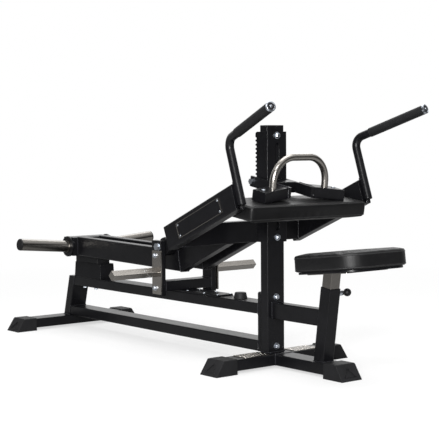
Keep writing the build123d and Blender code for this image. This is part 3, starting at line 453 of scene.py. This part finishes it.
def bead_path(form, points, radius, pitch, sides, closed, seed):
    """Adds a rippled weld bead along a path of straight runs."""
    stations = []
    loop = list(points) + ([points[0]] if closed else [])
    for start, end in zip(loop, loop[1:]):
        start, end = Vector(start), Vector(end)
        way = (end - start).normalized()
        count = max(2, int((end - start).length / (pitch / 2)))
        stations += [(start.lerp(end, step / count), way) for step in range(count)]
    if not closed:
        stations.append((end, way))
    rings = []
    for index, (point, way) in enumerate(stations):
        side = way.orthogonal().normalized()
        uneven = 1.0 + 0.12 * noise.noise(point * 90.0 + Vector((seed, 0, 0)))
        swell = radius * (1.0 if index % 2 else 0.82) * uneven
        rings.append(tube_ring(form, point, side, way.cross(side), swell, sides))
    for low, high in zip(rings, rings[1:] + (rings[:1] if closed else [])):
        if (low[0].co - high[0].co).length > 4 * pitch:
            continue
        shift = min(range(sides), key=lambda k: (low[0].co - high[k].co).length)
        for turn in range(sides):
            nxt = (turn + 1) % sides
            form.faces.new((low[turn], low[nxt], high[(nxt + shift) % sides], high[(turn + shift) % sides]))


def frame_ring(middle, along, up, half, corner, thick, steps=4):
    """Thin raised rim round a plate: its bars are thick wide and half as high."""
    out = up.cross(along).normalized()
    if out.y > 0:
        out = -out
    form = bmesh.new()
    rings = []
    for shrink, lift in ((0.0, -0.2), (0.0, 0.5), (thick, 0.5), (thick, -0.2)):
        ring = []
        for turn, (across, tall) in enumerate(((1, 1), (-1, 1), (-1, -1), (1, -1))):
            centre = Vector(((half[0] - corner) * across, (half[1] - corner) * tall))
            for step in range(steps + 1):
                angle = math.pi / 2 * (turn + step / steps)
                point = centre + Vector((math.cos(angle), math.sin(angle))) * (corner - shrink)
                ring.append(form.verts.new(middle + along * point.x + up * point.y + out * thick * lift))
        rings.append(ring)
    bridge(form, rings, closed=True)
    bmesh.ops.recalc_face_normals(form, faces=form.faces)
    return form


# ---------------------------------------------------------------------------
# Cushions
# ---------------------------------------------------------------------------
def round_outline(x_low, x_high, half, nose, heel, slack=0.0, steps=10):
    """Plan with nose corners at the high end and heel corners at the low end, drawn in by slack."""
    x_low, x_high, half = x_low + slack, x_high - slack, half - slack
    corners = [
        (x_high - nose, half - nose, nose, 0.0),
        (x_low + heel, half - heel, heel, math.pi / 2),
        (x_low + heel, -half + heel, heel, math.pi),
        (x_high - nose, -half + nose, nose, 3 * math.pi / 2),
    ]
    points = []
    for cx, cy, radius, start in corners:
        for step in range(steps + 1):
            angle = start + math.pi / 2 * step / steps
            points.append((cx + radius * math.cos(angle), cy + radius * math.sin(angle)))
    return points


def slab_form(outline, layers, place):
    """Closed pad from a plan outline; each layer is (height, inset)."""
    form = bmesh.new()
    count = len(outline)
    centre = Vector((sum(p[0] for p in outline) / count, sum(p[1] for p in outline) / count))
    rings = []
    for height, inset in layers:
        ring = []
        for point in outline:
            pull = Vector(point) - centre
            pull = pull * (1.0 - inset / max(0.001, pull.length))
            ring.append(form.verts.new(place @ Vector((centre.x + pull.x, centre.y + pull.y, height))))
        rings.append(ring)
    bridge(form, rings, capped=True)
    return form


def apply_modifiers(piece):
    """The piece's mesh as its modifiers leave it, and the modifiers gone."""
    graph = bpy.context.evaluated_depsgraph_get()
    mesh = bpy.data.meshes.new_from_object(piece.evaluated_get(graph))
    piece.modifiers.clear()
    return mesh


def remesh(piece, voxel):
    """Rebuilds the piece's mesh in even cells."""
    modifier = piece.modifiers.new("even", "REMESH")
    modifier.mode = "VOXEL"
    modifier.voxel_size = voxel
    piece.data = apply_modifiers(piece)


def stuff(piece, upholstery, held):
    """Swells the cover with cloth pressure, except for the points that are held on its board."""
    remesh(piece, upholstery.voxel)
    start = [vertex.co.copy() for vertex in piece.data.vertices]
    group = piece.vertex_groups.new(name="board")
    group.add([v.index for v in piece.data.vertices if held(v.co)], 1.0, "REPLACE")
    cloth = piece.modifiers.new("stuffing", "CLOTH")
    settings = cloth.settings
    settings.quality = 5
    settings.mass = 0.3
    settings.tension_stiffness = 40.0
    settings.compression_stiffness = 40.0
    settings.shear_stiffness = 20.0
    settings.bending_stiffness = 30.0
    settings.vertex_group_mass = "board"
    settings.use_pressure = True
    settings.uniform_pressure_force = upholstery.pressure
    settings.effector_weights.gravity = 0.0
    cloth.collision_settings.use_self_collision = False
    scene = bpy.context.scene
    for step in range(1, CLOTH_FRAMES + 1):
        scene.frame_set(step)
    mesh = apply_modifiers(piece)
    for vertex, before in zip(mesh.vertices, start):
        moved = vertex.co - before
        if moved.length > upholstery.swell:
            vertex.co = before + moved.normalized() * upholstery.swell
    piece.data = mesh
    scene.frame_set(1)


def smooth_over(piece):
    """Two light smoothing passes, and smooth shading."""
    form = bmesh.new()
    form.from_mesh(piece.data)
    for _ in range(2):
        bmesh.ops.smooth_vert(form, verts=form.verts, factor=0.35, use_axis_x=True, use_axis_y=True,
                              use_axis_z=True)
    form.to_mesh(piece.data)
    form.free()
    for face in piece.data.polygons:
        face.use_smooth = True


def cushion(context, name, body, plan, layers, place, board_height, board_way):
    """A stuffed cover, held beyond board_height on its board's side: board_way is 1 up, -1 down."""
    upholstery = context.scene.press_cushion
    outline = round_outline(*plan, slack=upholstery.shrink)
    piece = mesh_piece(name, slab_form(outline, layers, place), "vinyl", body, smooth=False)
    board = place @ Vector((0, 0, board_height))
    toward = (place.to_3x3() @ Vector((0, 0, board_way))).normalized()
    stuff(piece, upholstery, lambda point: (point - board).dot(toward) > 0.0)
    smooth_over(piece)
    paint(piece, finish(context.scene, "vinyl"))
    return piece


def seam_form(points, radius, sides=8):
    """Round sewn bead along a closed path."""
    form = bmesh.new()
    rings = []
    for index, point in enumerate(points):
        way = (points[(index + 1) % len(points)] - points[index - 1]).normalized()
        side = way.cross(Vector((0, 0, 1))).normalized()
        rings.append(tube_ring(form, point, side, way.cross(side), radius, sides))
    bridge(form, rings, closed=True)
    return form


def onto_cover(points, cover):
    """The closed path laid onto the cover's skin, a little sunk in, and evened out."""
    graph = bpy.context.evaluated_depsgraph_get()
    skin = cover.evaluated_get(graph)
    placed = []
    for point in points:
        found, where, normal, _ = skin.closest_point_on_mesh(point)
        placed.append(where - normal * SEAM_SINK if found else point)
    count = len(placed)
    return [(placed[i - 1] + placed[i] * 2 + placed[(i + 1) % count]) / 4 for i in range(count)]


def dense(outline, gap):
    """The outline's points no further apart than gap."""
    points = []
    for start, end in zip(outline, outline[1:] + outline[:1]):
        start, end = Vector(start), Vector(end)
        count = max(1, int((end - start).length / gap))
        points += [start.lerp(end, step / count) for step in range(count)]
    return points


def sew(context, cover, body, plan, place, seams):
    """Sews a bead round the cover at each seam's height."""
    outline = dense(round_outline(*plan), SEAM_SPACING)
    for name, height in seams:
        path = onto_cover([place @ Vector((x, y, height)) for x, y in outline], cover)
        mesh_piece(name, seam_form(path, context.scene.press_cushion.piping), "seam", body)


class PRESS_OT_seat_cushion(Operator):
    """Builds the stuffed seat with its sewn edge"""
    bl_idname = "press_machine.seat_cushion"
    bl_label = "Seat Cushion"

    def execute(self, context):
        place = Matrix.Translation(SEAT_ORIGIN) @ Matrix.Rotation(-SEAT_TILT, 4, "Y")
        low, high = 0.0120, 0.0680
        layers = [
            (low, 0.006), (low + 0.0015, 0.002), (low + 0.005, 0.0),
            (high - 0.006, 0.0), (high - 0.0015, 0.001), (high, 0.004),
        ]
        piece = cushion(context, "seat_cushion", "seat", SEAT_PLAN, layers, place, low + 0.003, -1)
        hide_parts("seat_pad")
        seams = (("seat_seam_top", high - 0.009), ("seat_seam_low", low + 0.005))
        sew(context, piece, "seat", SEAT_PLAN, place, seams)
        return {"FINISHED"}


class PRESS_OT_thigh_cushion(Operator):
    """Builds the stuffed thigh pad with its sewn edges"""
    bl_idname = "press_machine.thigh_cushion"
    bl_label = "Thigh Cushion"

    def execute(self, context):
        place = Matrix.Translation(THIGH_ORIGIN) @ Matrix.Rotation(-THIGH_TILT, 4, "Y")
        low, high = -0.0565, -0.0004
        layers = [
            (low, 0.013), (low + 0.002, 0.007), (low + 0.006, 0.0025), (low + 0.012, 0.0),
            (high - 0.011, 0.0), (high - 0.006, 0.0015), (high - 0.002, 0.005), (high, 0.010),
        ]
        piece = cushion(context, "thigh_cushion", "pad_carriage", THIGH_PLAN, layers, place, high - 0.003, 1)
        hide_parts("thigh_pad")
        seams = (("thigh_seam_top", high - 0.004), ("thigh_seam_low", low + 0.007))
        sew(context, piece, "pad_carriage", THIGH_PLAN, place, seams)
        return {"FINISHED"}


# ---------------------------------------------------------------------------
# Finishes on the machine's own parts
# ---------------------------------------------------------------------------
COATED = [
    "front_foot_bar", "rear_foot_bar", "front_spine_bar", "column", "rail_flange", "rear_upright",
    "upper_rail", "lower_rail", "seat_brace", "seat_sleeve", "rack_plate", "yoke_base_plate",
    "yoke_cross_beam", "yoke_upright_left", "yoke_upright_right", "rest_block", "lever_hub",
    "rear_beam_left", "rear_beam_right", "forward_tube_left", "forward_tube_right", "horn_carrier",
    "lever_cross_beam", "side_arm_left", "side_arm_right", "handle_left", "handle_right",
    "badge_plate", "carriage_bar_left", "carriage_bar_right", "carriage_cross_tube", "pad_arm_left",
    "pad_arm_right", "seat_board",
]
WEARS = {
    "steel_y": ["storage_peg_left", "storage_peg_right", "tread_plates", "assist_handle"],
    # The horns and the seat plate wear the stainless darkened as painted shade.
    "steel_painted_shade": ["weight_horn_left", "weight_horn_right", "seat_plate"],
    # The seat post wears the stainless darkened as painted shade.
    "steel_z_painted_shade": ["seat_post"],
    "zinc": ["lock_pin", "pivot_bolt", "pin_barrel"],
    "rubber": ["front_boots", "rear_boots", "tip_boot", "rest_pad", "front_bumper"],
    "grip": ["grip_left", "grip_right"],
    "plastic": ["column_cap", "horn_caps", "pivot_bushes", "pull_knob"],
    "chrome": ["grip_caps"],
}


def dress(settings, key, names):
    """The named nodes wear one finish."""
    material = finish(settings, key)
    for name in names:
        paint(NODES[name], material)


class PRESS_OT_steelwork(Operator):
    """Coats the welded steel"""
    bl_idname = "press_machine.steelwork"
    bl_label = "Steelwork"

    def execute(self, context):
        dress(context.scene, "coat", COATED)
        return {"FINISHED"}


class PRESS_OT_trim(Operator):
    """Gives the stainless, zinc, rubber and plastic parts their finishes"""
    bl_idname = "press_machine.trim"
    bl_label = "Trim"

    def execute(self, context):
        for key, names in WEARS.items():
            dress(context.scene, key, names)
        return {"FINISHED"}


# ---------------------------------------------------------------------------
# Bolts, rims and studs
# ---------------------------------------------------------------------------
class PRESS_OT_bolts(Operator):
    """Fits the bolt heads of the frame and pads, and the badge's rivets and rim"""
    bl_idname = "press_machine.bolts"
    bl_label = "Bolts"

    def execute(self, context):
        large = context.scene.press_fixings.large_flat
        small = context.scene.press_fixings.small_flat

        form = bmesh.new()
        for x, z in ((COLUMN_FACE, 0.251), (COLUMN_FACE, 0.072), (RACK_FACE, 0.832), (RACK_FACE, 0.468)):
            hex_bolt(form, axes(Vector((x, 0.0, z)), (1, 0, 0), (0, 0, 1)), large, LARGE_HEAD)
        for x in (-0.491, -0.386, -0.301):
            for y in (-0.030, 0.030):
                place = axes(Vector((COLUMN_FACE + x, y, YOKE_PLATE_TOP)), (0, 0, 1))
                dome_bolt(form, place, radius=0.005, height=0.003)
        for x in (-1.245, -1.155):
            for y in (-0.022, 0.022):
                place = axes(Vector((COLUMN_FACE + x, y, UPPER_RAIL[0])), (0, 0, -1))
                hex_bolt(form, place, small, SMALL_HEAD)
        for facing in SIDES:
            for z in (0.373, 0.246):
                for y, way in ((YOKE_OUTER, facing), (YOKE_INNER, -facing)):
                    hex_bolt(form, axes(Vector((YOKE_X, facing * y, z)), (0, way, 0)), small, SMALL_HEAD)
        mesh_piece("frame_bolts", form, "zinc", "frame")

        form = bmesh.new()
        for facing in SIDES:
            point = Vector((COLUMN_FACE + 0.124, facing * 0.164, 0.6395))
            hex_bolt(form, axes(point, (0.17, facing * 0.1, 0.98)), small, LOW_HEAD)
        mesh_piece("pad_bolts", form, "zinc", "pad_carriage")

        form = bmesh.new()
        along = Vector((math.cos(ARM_RISE), 0.0, math.sin(ARM_RISE)))
        up = Vector((-math.sin(ARM_RISE), 0.0, math.cos(ARM_RISE)))
        low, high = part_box("badge_plate")
        middle = (low + high) / 2
        middle.y = low.y
        for across in SIDES:
            for tall in SIDES:
                point = middle + along * (across * 0.122) + up * (tall * 0.020)
                dome_bolt(form, axes(point, (0, -1, 0)), radius=0.004, height=0.002)
        mesh_piece("badge_rivets", form, "zinc", "lever")
        rim = frame_ring(middle, along, up, half=(0.131, 0.028), corner=0.004, thick=0.0022)
        mesh_piece("badge_rim", rim, "steel_y", "lever")
        return {"FINISHED"}


class PRESS_OT_boot_rims(Operator):
    """Moulds a raised rim round the triangular recess of each boot"""
    bl_idname = "press_machine.boot_rims"
    bl_label = "Boot Rims"

    def execute(self, context):
        boot_rise, boot_run = 0.0544, 0.0352
        half_width, foot_height, tip_height = 0.027, 0.014, 0.0481
        ends = []
        for name in ("front_boots", "rear_boots"):
            low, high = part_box(name)
            for facing in SIDES:
                end = Vector(((low.x + high.x) / 2, high.y * facing, 0.0))
                ends.append((end, Vector((0.0, facing, 0.0))))
        ends.append((Vector((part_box("tip_boot")[1].x, 0.0, 0.0)), Vector((1.0, 0.0, 0.0))))
        form = bmesh.new()
        for end, outward in ends:
            across = Vector((0.0, 0.0, 1.0)).cross(outward)
            rise = (Vector((0.0, 0.0, boot_rise)) - outward * boot_run).normalized()
            corners = ((-half_width, foot_height), (half_width, foot_height), (0.0, tip_height))
            points = [end + across * x + rise * y for x, y in corners]
            bead_path(form, points, radius=0.0013, pitch=0.03, sides=6, closed=True, seed=3)
        mesh_piece("boot_rims", form, "plastic", "frame")
        return {"FINISHED"}


def world_points(name):
    """The corners of a node's mesh, in the frame's axes."""
    return [NODES[name].matrix_world @ vertex.co for vertex in NODES[name].data.vertices]


class PRESS_OT_grip_ends(Operator):
    """Turns the chrome ring, dark inset and centre button of each grip end"""
    bl_idname = "press_machine.grip_ends"
    bl_label = "Grip Ends"

    def execute(self, context):
        rings, insets = bmesh.new(), bmesh.new()
        for side, name in zip(SIDES, ("grip_left", "grip_right")):
            grip = world_points(name)
            cap = [point for point in world_points("grip_caps") if point.y * side > 0]
            centre = sum(cap, Vector()) / len(cap)
            middle = (min(grip, key=lambda p: p.x) + max(grip, key=lambda p: p.x)) / 2
            along = (centre - middle).normalized()
            reach = max((point - centre).dot(along) for point in cap)
            radius = max(((point - centre) - along * (point - centre).dot(along)).length for point in cap)
            place = axes(centre + along * reach, along)
            lathe(rings, place, [
                (radius * 0.97, -0.001), (radius * 0.97, 0.0008), (radius * 0.9, 0.0016),
                (radius * 0.78, 0.0016), (radius * 0.7, 0.0002),
            ], 32)
            lathe(insets, place, [
                (radius * 0.72, -0.001), (radius * 0.72, 0.0005), (radius * 0.5, 0.0003),
            ], 32)
            button = place @ Matrix.Translation((0.0, 0.0, 0.0004))
            dome_bolt(rings, button, radius * 0.3, height=0.0016)
        mesh_piece("grip_end_rings", rings, "chrome", "lever")
        mesh_piece("grip_end_insets", insets, "plastic", "lever")
        return {"FINISHED"}


class PRESS_OT_treads(Operator):
    """Studs the foot plates so that shoes grip them"""
    bl_idname = "press_machine.treads"
    bl_label = "Treads"

    def execute(self, context):
        rows, columns, pitch = 5, 8, 0.0135
        plate_middle, stagger = 0.1175, 0.25
        low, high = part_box("tread_plates")
        form = bmesh.new()
        for facing in SIDES:
            for row in range(rows):
                for column in range(columns):
                    x = (low.x + high.x) / 2 + (row - (rows - 1) / 2) * pitch
                    shift = column - (columns - 1) / 2 + stagger * (-1) ** row
                    y = facing * (plate_middle + shift * pitch)
                    place = axes(Vector((x, y, high.z)), (0, 0, 1))
                    dome_bolt(form, place, radius=0.0036, height=0.0012)
        mesh_piece("tread_studs", form, "steel_y", "frame")
        return {"FINISHED"}


# ---------------------------------------------------------------------------
# Welds
# ---------------------------------------------------------------------------
def flat_loop(x_low, x_high, y_half, z):
    """Corners of a joint that lies level at z."""
    return [(x_low, -y_half, z), (x_high, -y_half, z), (x_high, y_half, z), (x_low, y_half, z)]


def side_loop(x_low, x_high, y, z_low, z_high):
    """Corners of a joint that lies in a side plane at y."""
    return [(x_low, y, z_low), (x_high, y, z_low), (x_high, y, z_high), (x_low, y, z_high)]


def cross_loop(x_low, x_high, y_low, y_high, z_low, z_high):
    """Corners of a joint across the machine, whose foot is at x_low and whose head is at x_high."""
    foot = [(x_low, y_low, z_low), (x_low, y_high, z_low)]
    return foot + [(x_high, y_high, z_high), (x_high, y_low, z_high)]


def leaning_loop(x, slope, y_half, z_low, z_high):
    """Corners of a joint on a face that leans forward by slope from x on the floor bar."""
    x_low, x_high = (x + (z - BAR_TOP) * slope for z in (z_low, z_high))
    return cross_loop(x_low, x_high, -y_half, y_half, z_low, z_high)


def weld(context, name, body, seams, open_seams=()):
    """Runs the beads of one body; each seam is (noise seed, corners)."""
    fixings = context.scene.press_fixings
    form = bmesh.new()
    for closed, group in ((True, seams), (False, open_seams)):
        for seed, corners in group:
            bead_path(form, corners, fixings.bead, fixings.ripple, fixings.sides, closed, seed)
    mesh_piece(name, form, "weld", body)


class PRESS_OT_welds(Operator):
    """Runs the weld beads where the tubes meet"""
    bl_idname = "press_machine.welds"
    bl_label = "Welds"

    def execute(self, context):
        face = COLUMN_FACE
        rail_end, yoke_beam_top = face - 0.055, 0.272
        lean = math.radians(15.3)
        upright, upright_half = face - 1.3719, 0.0225 / math.cos(lean)
        upright_front = upright + upright_half
        sleeve, sleeve_half, sleeve_width = face + 0.2475, 0.02525, 0.025
        sleeve_back, sleeve_slope = sleeve - sleeve_half, math.tan(math.radians(8.1))
        seams = [
            (1, flat_loop(face - RAIL_DEPTH, face, TUBE_HALF, BAR_TOP)),
            (2, leaning_loop(face + 0.040, 0.0, TUBE_HALF, BAR_BOTTOM, BAR_TOP)),
            (3, leaning_loop(rail_end, 0.0, TUBE_HALF, *UPPER_RAIL)),
            (4, leaning_loop(rail_end, 0.0, TUBE_HALF, *LOWER_RAIL)),
            (5, leaning_loop(face, 0.0, BRACE_HALF, *SEAT_BRACE)),
            (6, flat_loop(upright - upright_half, upright_front, TUBE_HALF, BAR_TOP)),
            (7, leaning_loop(upright_front, math.tan(lean), TUBE_HALF, *UPPER_RAIL)),
            (7, leaning_loop(upright_front, math.tan(lean), TUBE_HALF, *LOWER_RAIL)),
            (8, flat_loop(sleeve_back, sleeve + sleeve_half, sleeve_width, BAR_TOP)),
            (9, leaning_loop(sleeve_back, sleeve_slope, BRACE_HALF, *SEAT_BRACE)),
        ]
        for facing in SIDES:
            seams.append((10, side_loop(
                YOKE_X - YOKE_HALF, YOKE_X + YOKE_HALF, facing * YOKE_INNER, YOKE_PLATE_TOP, yoke_beam_top)))
        weld(context, "frame_welds", "frame", seams)

        seams, handle_seams = [], []
        carrier, cross_beam, beam_low = face - 1.215, face - 0.227, 0.436
        for facing in SIDES:
            near, far = facing * 0.035, facing * 0.075
            seams += [
                (11, side_loop(cross_beam, cross_beam + RAIL_DEPTH, facing * 0.278, beam_low, 0.516)),
                (12, cross_loop(carrier, carrier, near, far, 0.326, 0.4035)),
                (13, cross_loop(face - 0.4731, face - 0.4890, near, far, 0.3118, 0.3921)),
                (14, cross_loop(cross_beam, cross_beam, near, far, beam_low, 0.506)),
            ]
            for seed, y in ((15, 0.290), (16, 0.306)):
                handle_seams.append((seed, [
                    (face + 0.131, facing * y, 0.676), (face + 0.1555, facing * y, 0.582)]))
        weld(context, "lever_welds", "lever", seams, handle_seams)

        run, bar_tilt = 0.070, math.radians(-10.5)
        drop = run * math.tan(bar_tilt)
        near, far = face + 0.063, face + 0.063 + run
        top, low = 0.664, 0.628
        seams = []
        for y in (-0.0585, 0.0585):
            seams.append((17, [(near, y, top), (far, y, top + drop), (far, y, low + drop), (near, y, low)]))
        weld(context, "carriage_welds", "pad_carriage", seams)
        return {"FINISHED"}


# ---------------------------------------------------------------------------
# Studio
# ---------------------------------------------------------------------------
FLOOR_REACH = 14.0
WHITE_FROM = 3.6
BACKDROP_WAY = (-0.78, 0.62, 0.0)


def larger(tree, first, second):
    """The larger of two sockets' values."""
    return node(tree, "ShaderNodeMath", "MAXIMUM", i0=first, i1=second).outputs["Value"]


def times(tree, first, second):
    """Two sockets' values multiplied."""
    return node(tree, "ShaderNodeMath", "MULTIPLY", i0=first, i1=second).outputs["Value"]


def ramped(tree, value, start, end, low=0.0, high=1.0):
    """A socket's value, run from low to high between start and end."""
    made = node(tree, "ShaderNodeMapRange", Value=value, From_Min=start, From_Max=end, To_Min=low,
                To_Max=high)
    return made.outputs["Result"]


def floor_paint(reach):
    """Pale floor: near the machine it shows the shadow, and far away it turns into plain white."""
    material = bpy.data.materials.new("floor_paint")
    material.use_nodes = True
    tree = material.node_tree
    rays = node(tree, "ShaderNodeLightPath").outputs
    tint = node(tree, "ShaderNodeMix", Factor=rays["Is Camera Ray"])
    tint.data_type = "RGBA"
    tint.inputs["A"].default_value = (0.35, 0.35, 0.35, 1.0)
    tint.inputs["B"].default_value = (0.95, 0.95, 0.95, 1.0)
    surface = tree.nodes["Principled BSDF"]
    surface.inputs["Roughness"].default_value = 0.9
    surface.inputs["Specular IOR Level"].default_value = 0.0
    place = node(tree, "ShaderNodeTexCoord").outputs["Object"]
    distance = node(tree, "ShaderNodeVectorMath", "LENGTH", i0=place).outputs["Value"]
    shown = times(tree, ramped(tree, distance, 0.9, reach, 0.6, 1.0), rays["Is Camera Ray"])
    mirrored = larger(tree, times(tree, rays["Is Glossy Ray"], 0.1), rays["Is Transmission Ray"])
    glow = node(tree, "ShaderNodeEmission", Strength=1.0)
    mix = node(tree, "ShaderNodeMixShader", Fac=larger(tree, shown, mirrored), i1=surface.outputs["BSDF"],
               i2=glow.outputs["Emission"])
    tree.links.new(tint.outputs["Result"], surface.inputs["Base Color"])
    tree.links.new(mix.outputs["Shader"], tree.nodes["Material Output"].inputs["Surface"])
    return material


def studio_world(level):
    """White backdrop behind and above the machine, and a dim studio in the reflections elsewhere."""
    world = bpy.data.worlds.new("studio")
    world.use_nodes = True
    tree = world.node_tree
    tree.nodes.clear()
    rays = node(tree, "ShaderNodeLightPath").outputs
    way = node(tree, "ShaderNodeTexCoord").outputs["Generated"]
    height = node(tree, "ShaderNodeSeparateXYZ", Vector=way).outputs["Z"]
    behind = node(tree, "ShaderNodeVectorMath", "DOT_PRODUCT", i0=way, i1=BACKDROP_WAY).outputs["Value"]
    lit = larger(tree, ramped(tree, height, 0.3, 0.7, 0.0, 0.8), ramped(tree, behind, 0.4, 0.85))
    mirrored = times(tree, rays["Is Glossy Ray"], lit)
    shown = larger(tree, larger(tree, rays["Is Camera Ray"], rays["Is Transmission Ray"]), mirrored)
    dim = ramped(tree, rays["Is Glossy Ray"], 0.0, 1.0, level, 0.05)
    around = node(tree, "ShaderNodeBackground", Color=(1.0, 1.0, 1.0, 1.0), Strength=dim)
    white = node(tree, "ShaderNodeBackground", Color=(1.0, 1.0, 1.0, 1.0), Strength=1.0)
    mix = node(tree, "ShaderNodeMixShader", Fac=shown, i1=around.outputs["Background"],
               i2=white.outputs["Background"])
    node(tree, "ShaderNodeOutputWorld", Surface=mix.outputs["Shader"])
    return world


def area_lamp(name, place, target, size, power):
    """A rectangular lamp that shines from place to target, unseen by the camera."""
    lamp = bpy.data.lights.new(name, "AREA")
    lamp.shape = "RECTANGLE"
    lamp.size, lamp.size_y = size
    lamp.energy = power
    holder = bpy.data.objects.new(name, lamp)
    bpy.context.scene.collection.objects.link(holder)
    holder.visible_camera = False
    holder.matrix_world = Matrix.Translation(place) @ (
        (Vector(target) - Vector(place)).to_track_quat("-Z", "Y").to_matrix().to_4x4())


class PRESS_OT_stage(Operator):
    """Sets the floor, lamps, world and camera"""
    bl_idname = "press_machine.stage"
    bl_label = "Studio"

    def execute(self, context):
        studio = context.scene.press_studio
        scene = context.scene

        form = bmesh.new()
        corners = ((-1, -1), (1, -1), (1, 1), (-1, 1))
        form.faces.new([form.verts.new(Vector((x, y, 0.0)) * FLOOR_REACH) for x, y in corners])
        floor = bpy.data.objects.new("floor", from_bmesh("floor", form))
        scene.collection.objects.link(floor)
        paint(floor, floor_paint(WHITE_FROM))

        scene.world = studio_world(studio.surround)

        middle, foot = (0.0, 0.0, 0.5), (0.0, 0.0, 0.3)
        area_lamp("key", (2.3, -2.9, 3.4), middle, (1.8, 1.5), studio.key)
        area_lamp("fill", (3.1, -2.7, 1.15), middle, (0.85, 1.3), studio.fill)
        area_lamp("back", (-2.6, 2.6, 3.2), foot, (2.6, 1.8), studio.back)
        area_lamp("top", (0.0, 0.4, 3.9), foot, (3.6, 2.6), studio.top)

        camera = bpy.data.cameras.new("view")
        camera.sensor_width = 36.0
        camera.sensor_fit = "AUTO"
        camera.lens = studio.lens
        holder = bpy.data.objects.new("view", camera)
        scene.collection.objects.link(holder)
        level = math.cos(studio.pitch)
        forward = Vector((
            level * math.cos(studio.heading), level * math.sin(studio.heading), math.sin(studio.pitch)))
        level_right = Vector((math.sin(studio.heading), -math.cos(studio.heading), 0.0))
        level_up = level_right.cross(forward)
        right = level_right * math.cos(studio.roll) + level_up * math.sin(studio.roll)
        up = level_up * math.cos(studio.roll) - level_right * math.sin(studio.roll)
        turn = Matrix((right, up, -forward)).transposed().to_4x4()
        holder.matrix_world = Matrix.Translation(Vector(studio.eye)) @ turn
        scene.camera = holder

        scene.view_settings.view_transform = "Standard"
        return {"FINISHED"}


class PRESS_PT_machine(Panel):
    """Builds and dresses the machine"""
    bl_idname = "PRESS_PT_machine"
    bl_label = "Press Machine"
    bl_space_type = "VIEW_3D"
    bl_region_type = "UI"
    bl_category = "Press Machine"

    def draw(self, context):
        layout = self.layout
        for operator in BUILD_ORDER:
            layout.operator(operator.bl_idname)
        for group, _ in SETTINGS:
            settings = getattr(context.scene, group)
            box = layout.box()
            for name in settings.bl_rna.properties.keys():
                if name not in {"rna_type", "name"}:
                    box.prop(settings, name)


BUILD_ORDER = (
    PRESS_OT_steelwork,
    PRESS_OT_trim,
    PRESS_OT_seat_cushion,
    PRESS_OT_thigh_cushion,
    PRESS_OT_bolts,
    PRESS_OT_boot_rims,
    PRESS_OT_grip_ends,
    PRESS_OT_treads,
    PRESS_OT_welds,
    PRESS_OT_stage,
)
SETTINGS = (
    ("press_finish", PRESS_PG_finish),
    ("press_cushion", PRESS_PG_cushion),
    ("press_fixings", PRESS_PG_fixings),
    ("press_studio", PRESS_PG_studio),
)


def register():
    for name, group in SETTINGS:
        bpy.utils.register_class(group)
        setattr(bpy.types.Scene, name, PointerProperty(type=group))
    for operator in BUILD_ORDER:
        bpy.utils.register_class(operator)
    bpy.utils.register_class(PRESS_PT_machine)


def unregister():
    bpy.utils.unregister_class(PRESS_PT_machine)
    for operator in reversed(BUILD_ORDER):
        bpy.utils.unregister_class(operator)
    for name, group in reversed(SETTINGS):
        delattr(bpy.types.Scene, name)
        bpy.utils.unregister_class(group)


def main():
    register()
    for operator in BUILD_ORDER:
        group, name = operator.bl_idname.split(".")
        getattr(getattr(bpy.ops, group), name)()


if __name__ == "__main__":
    main()
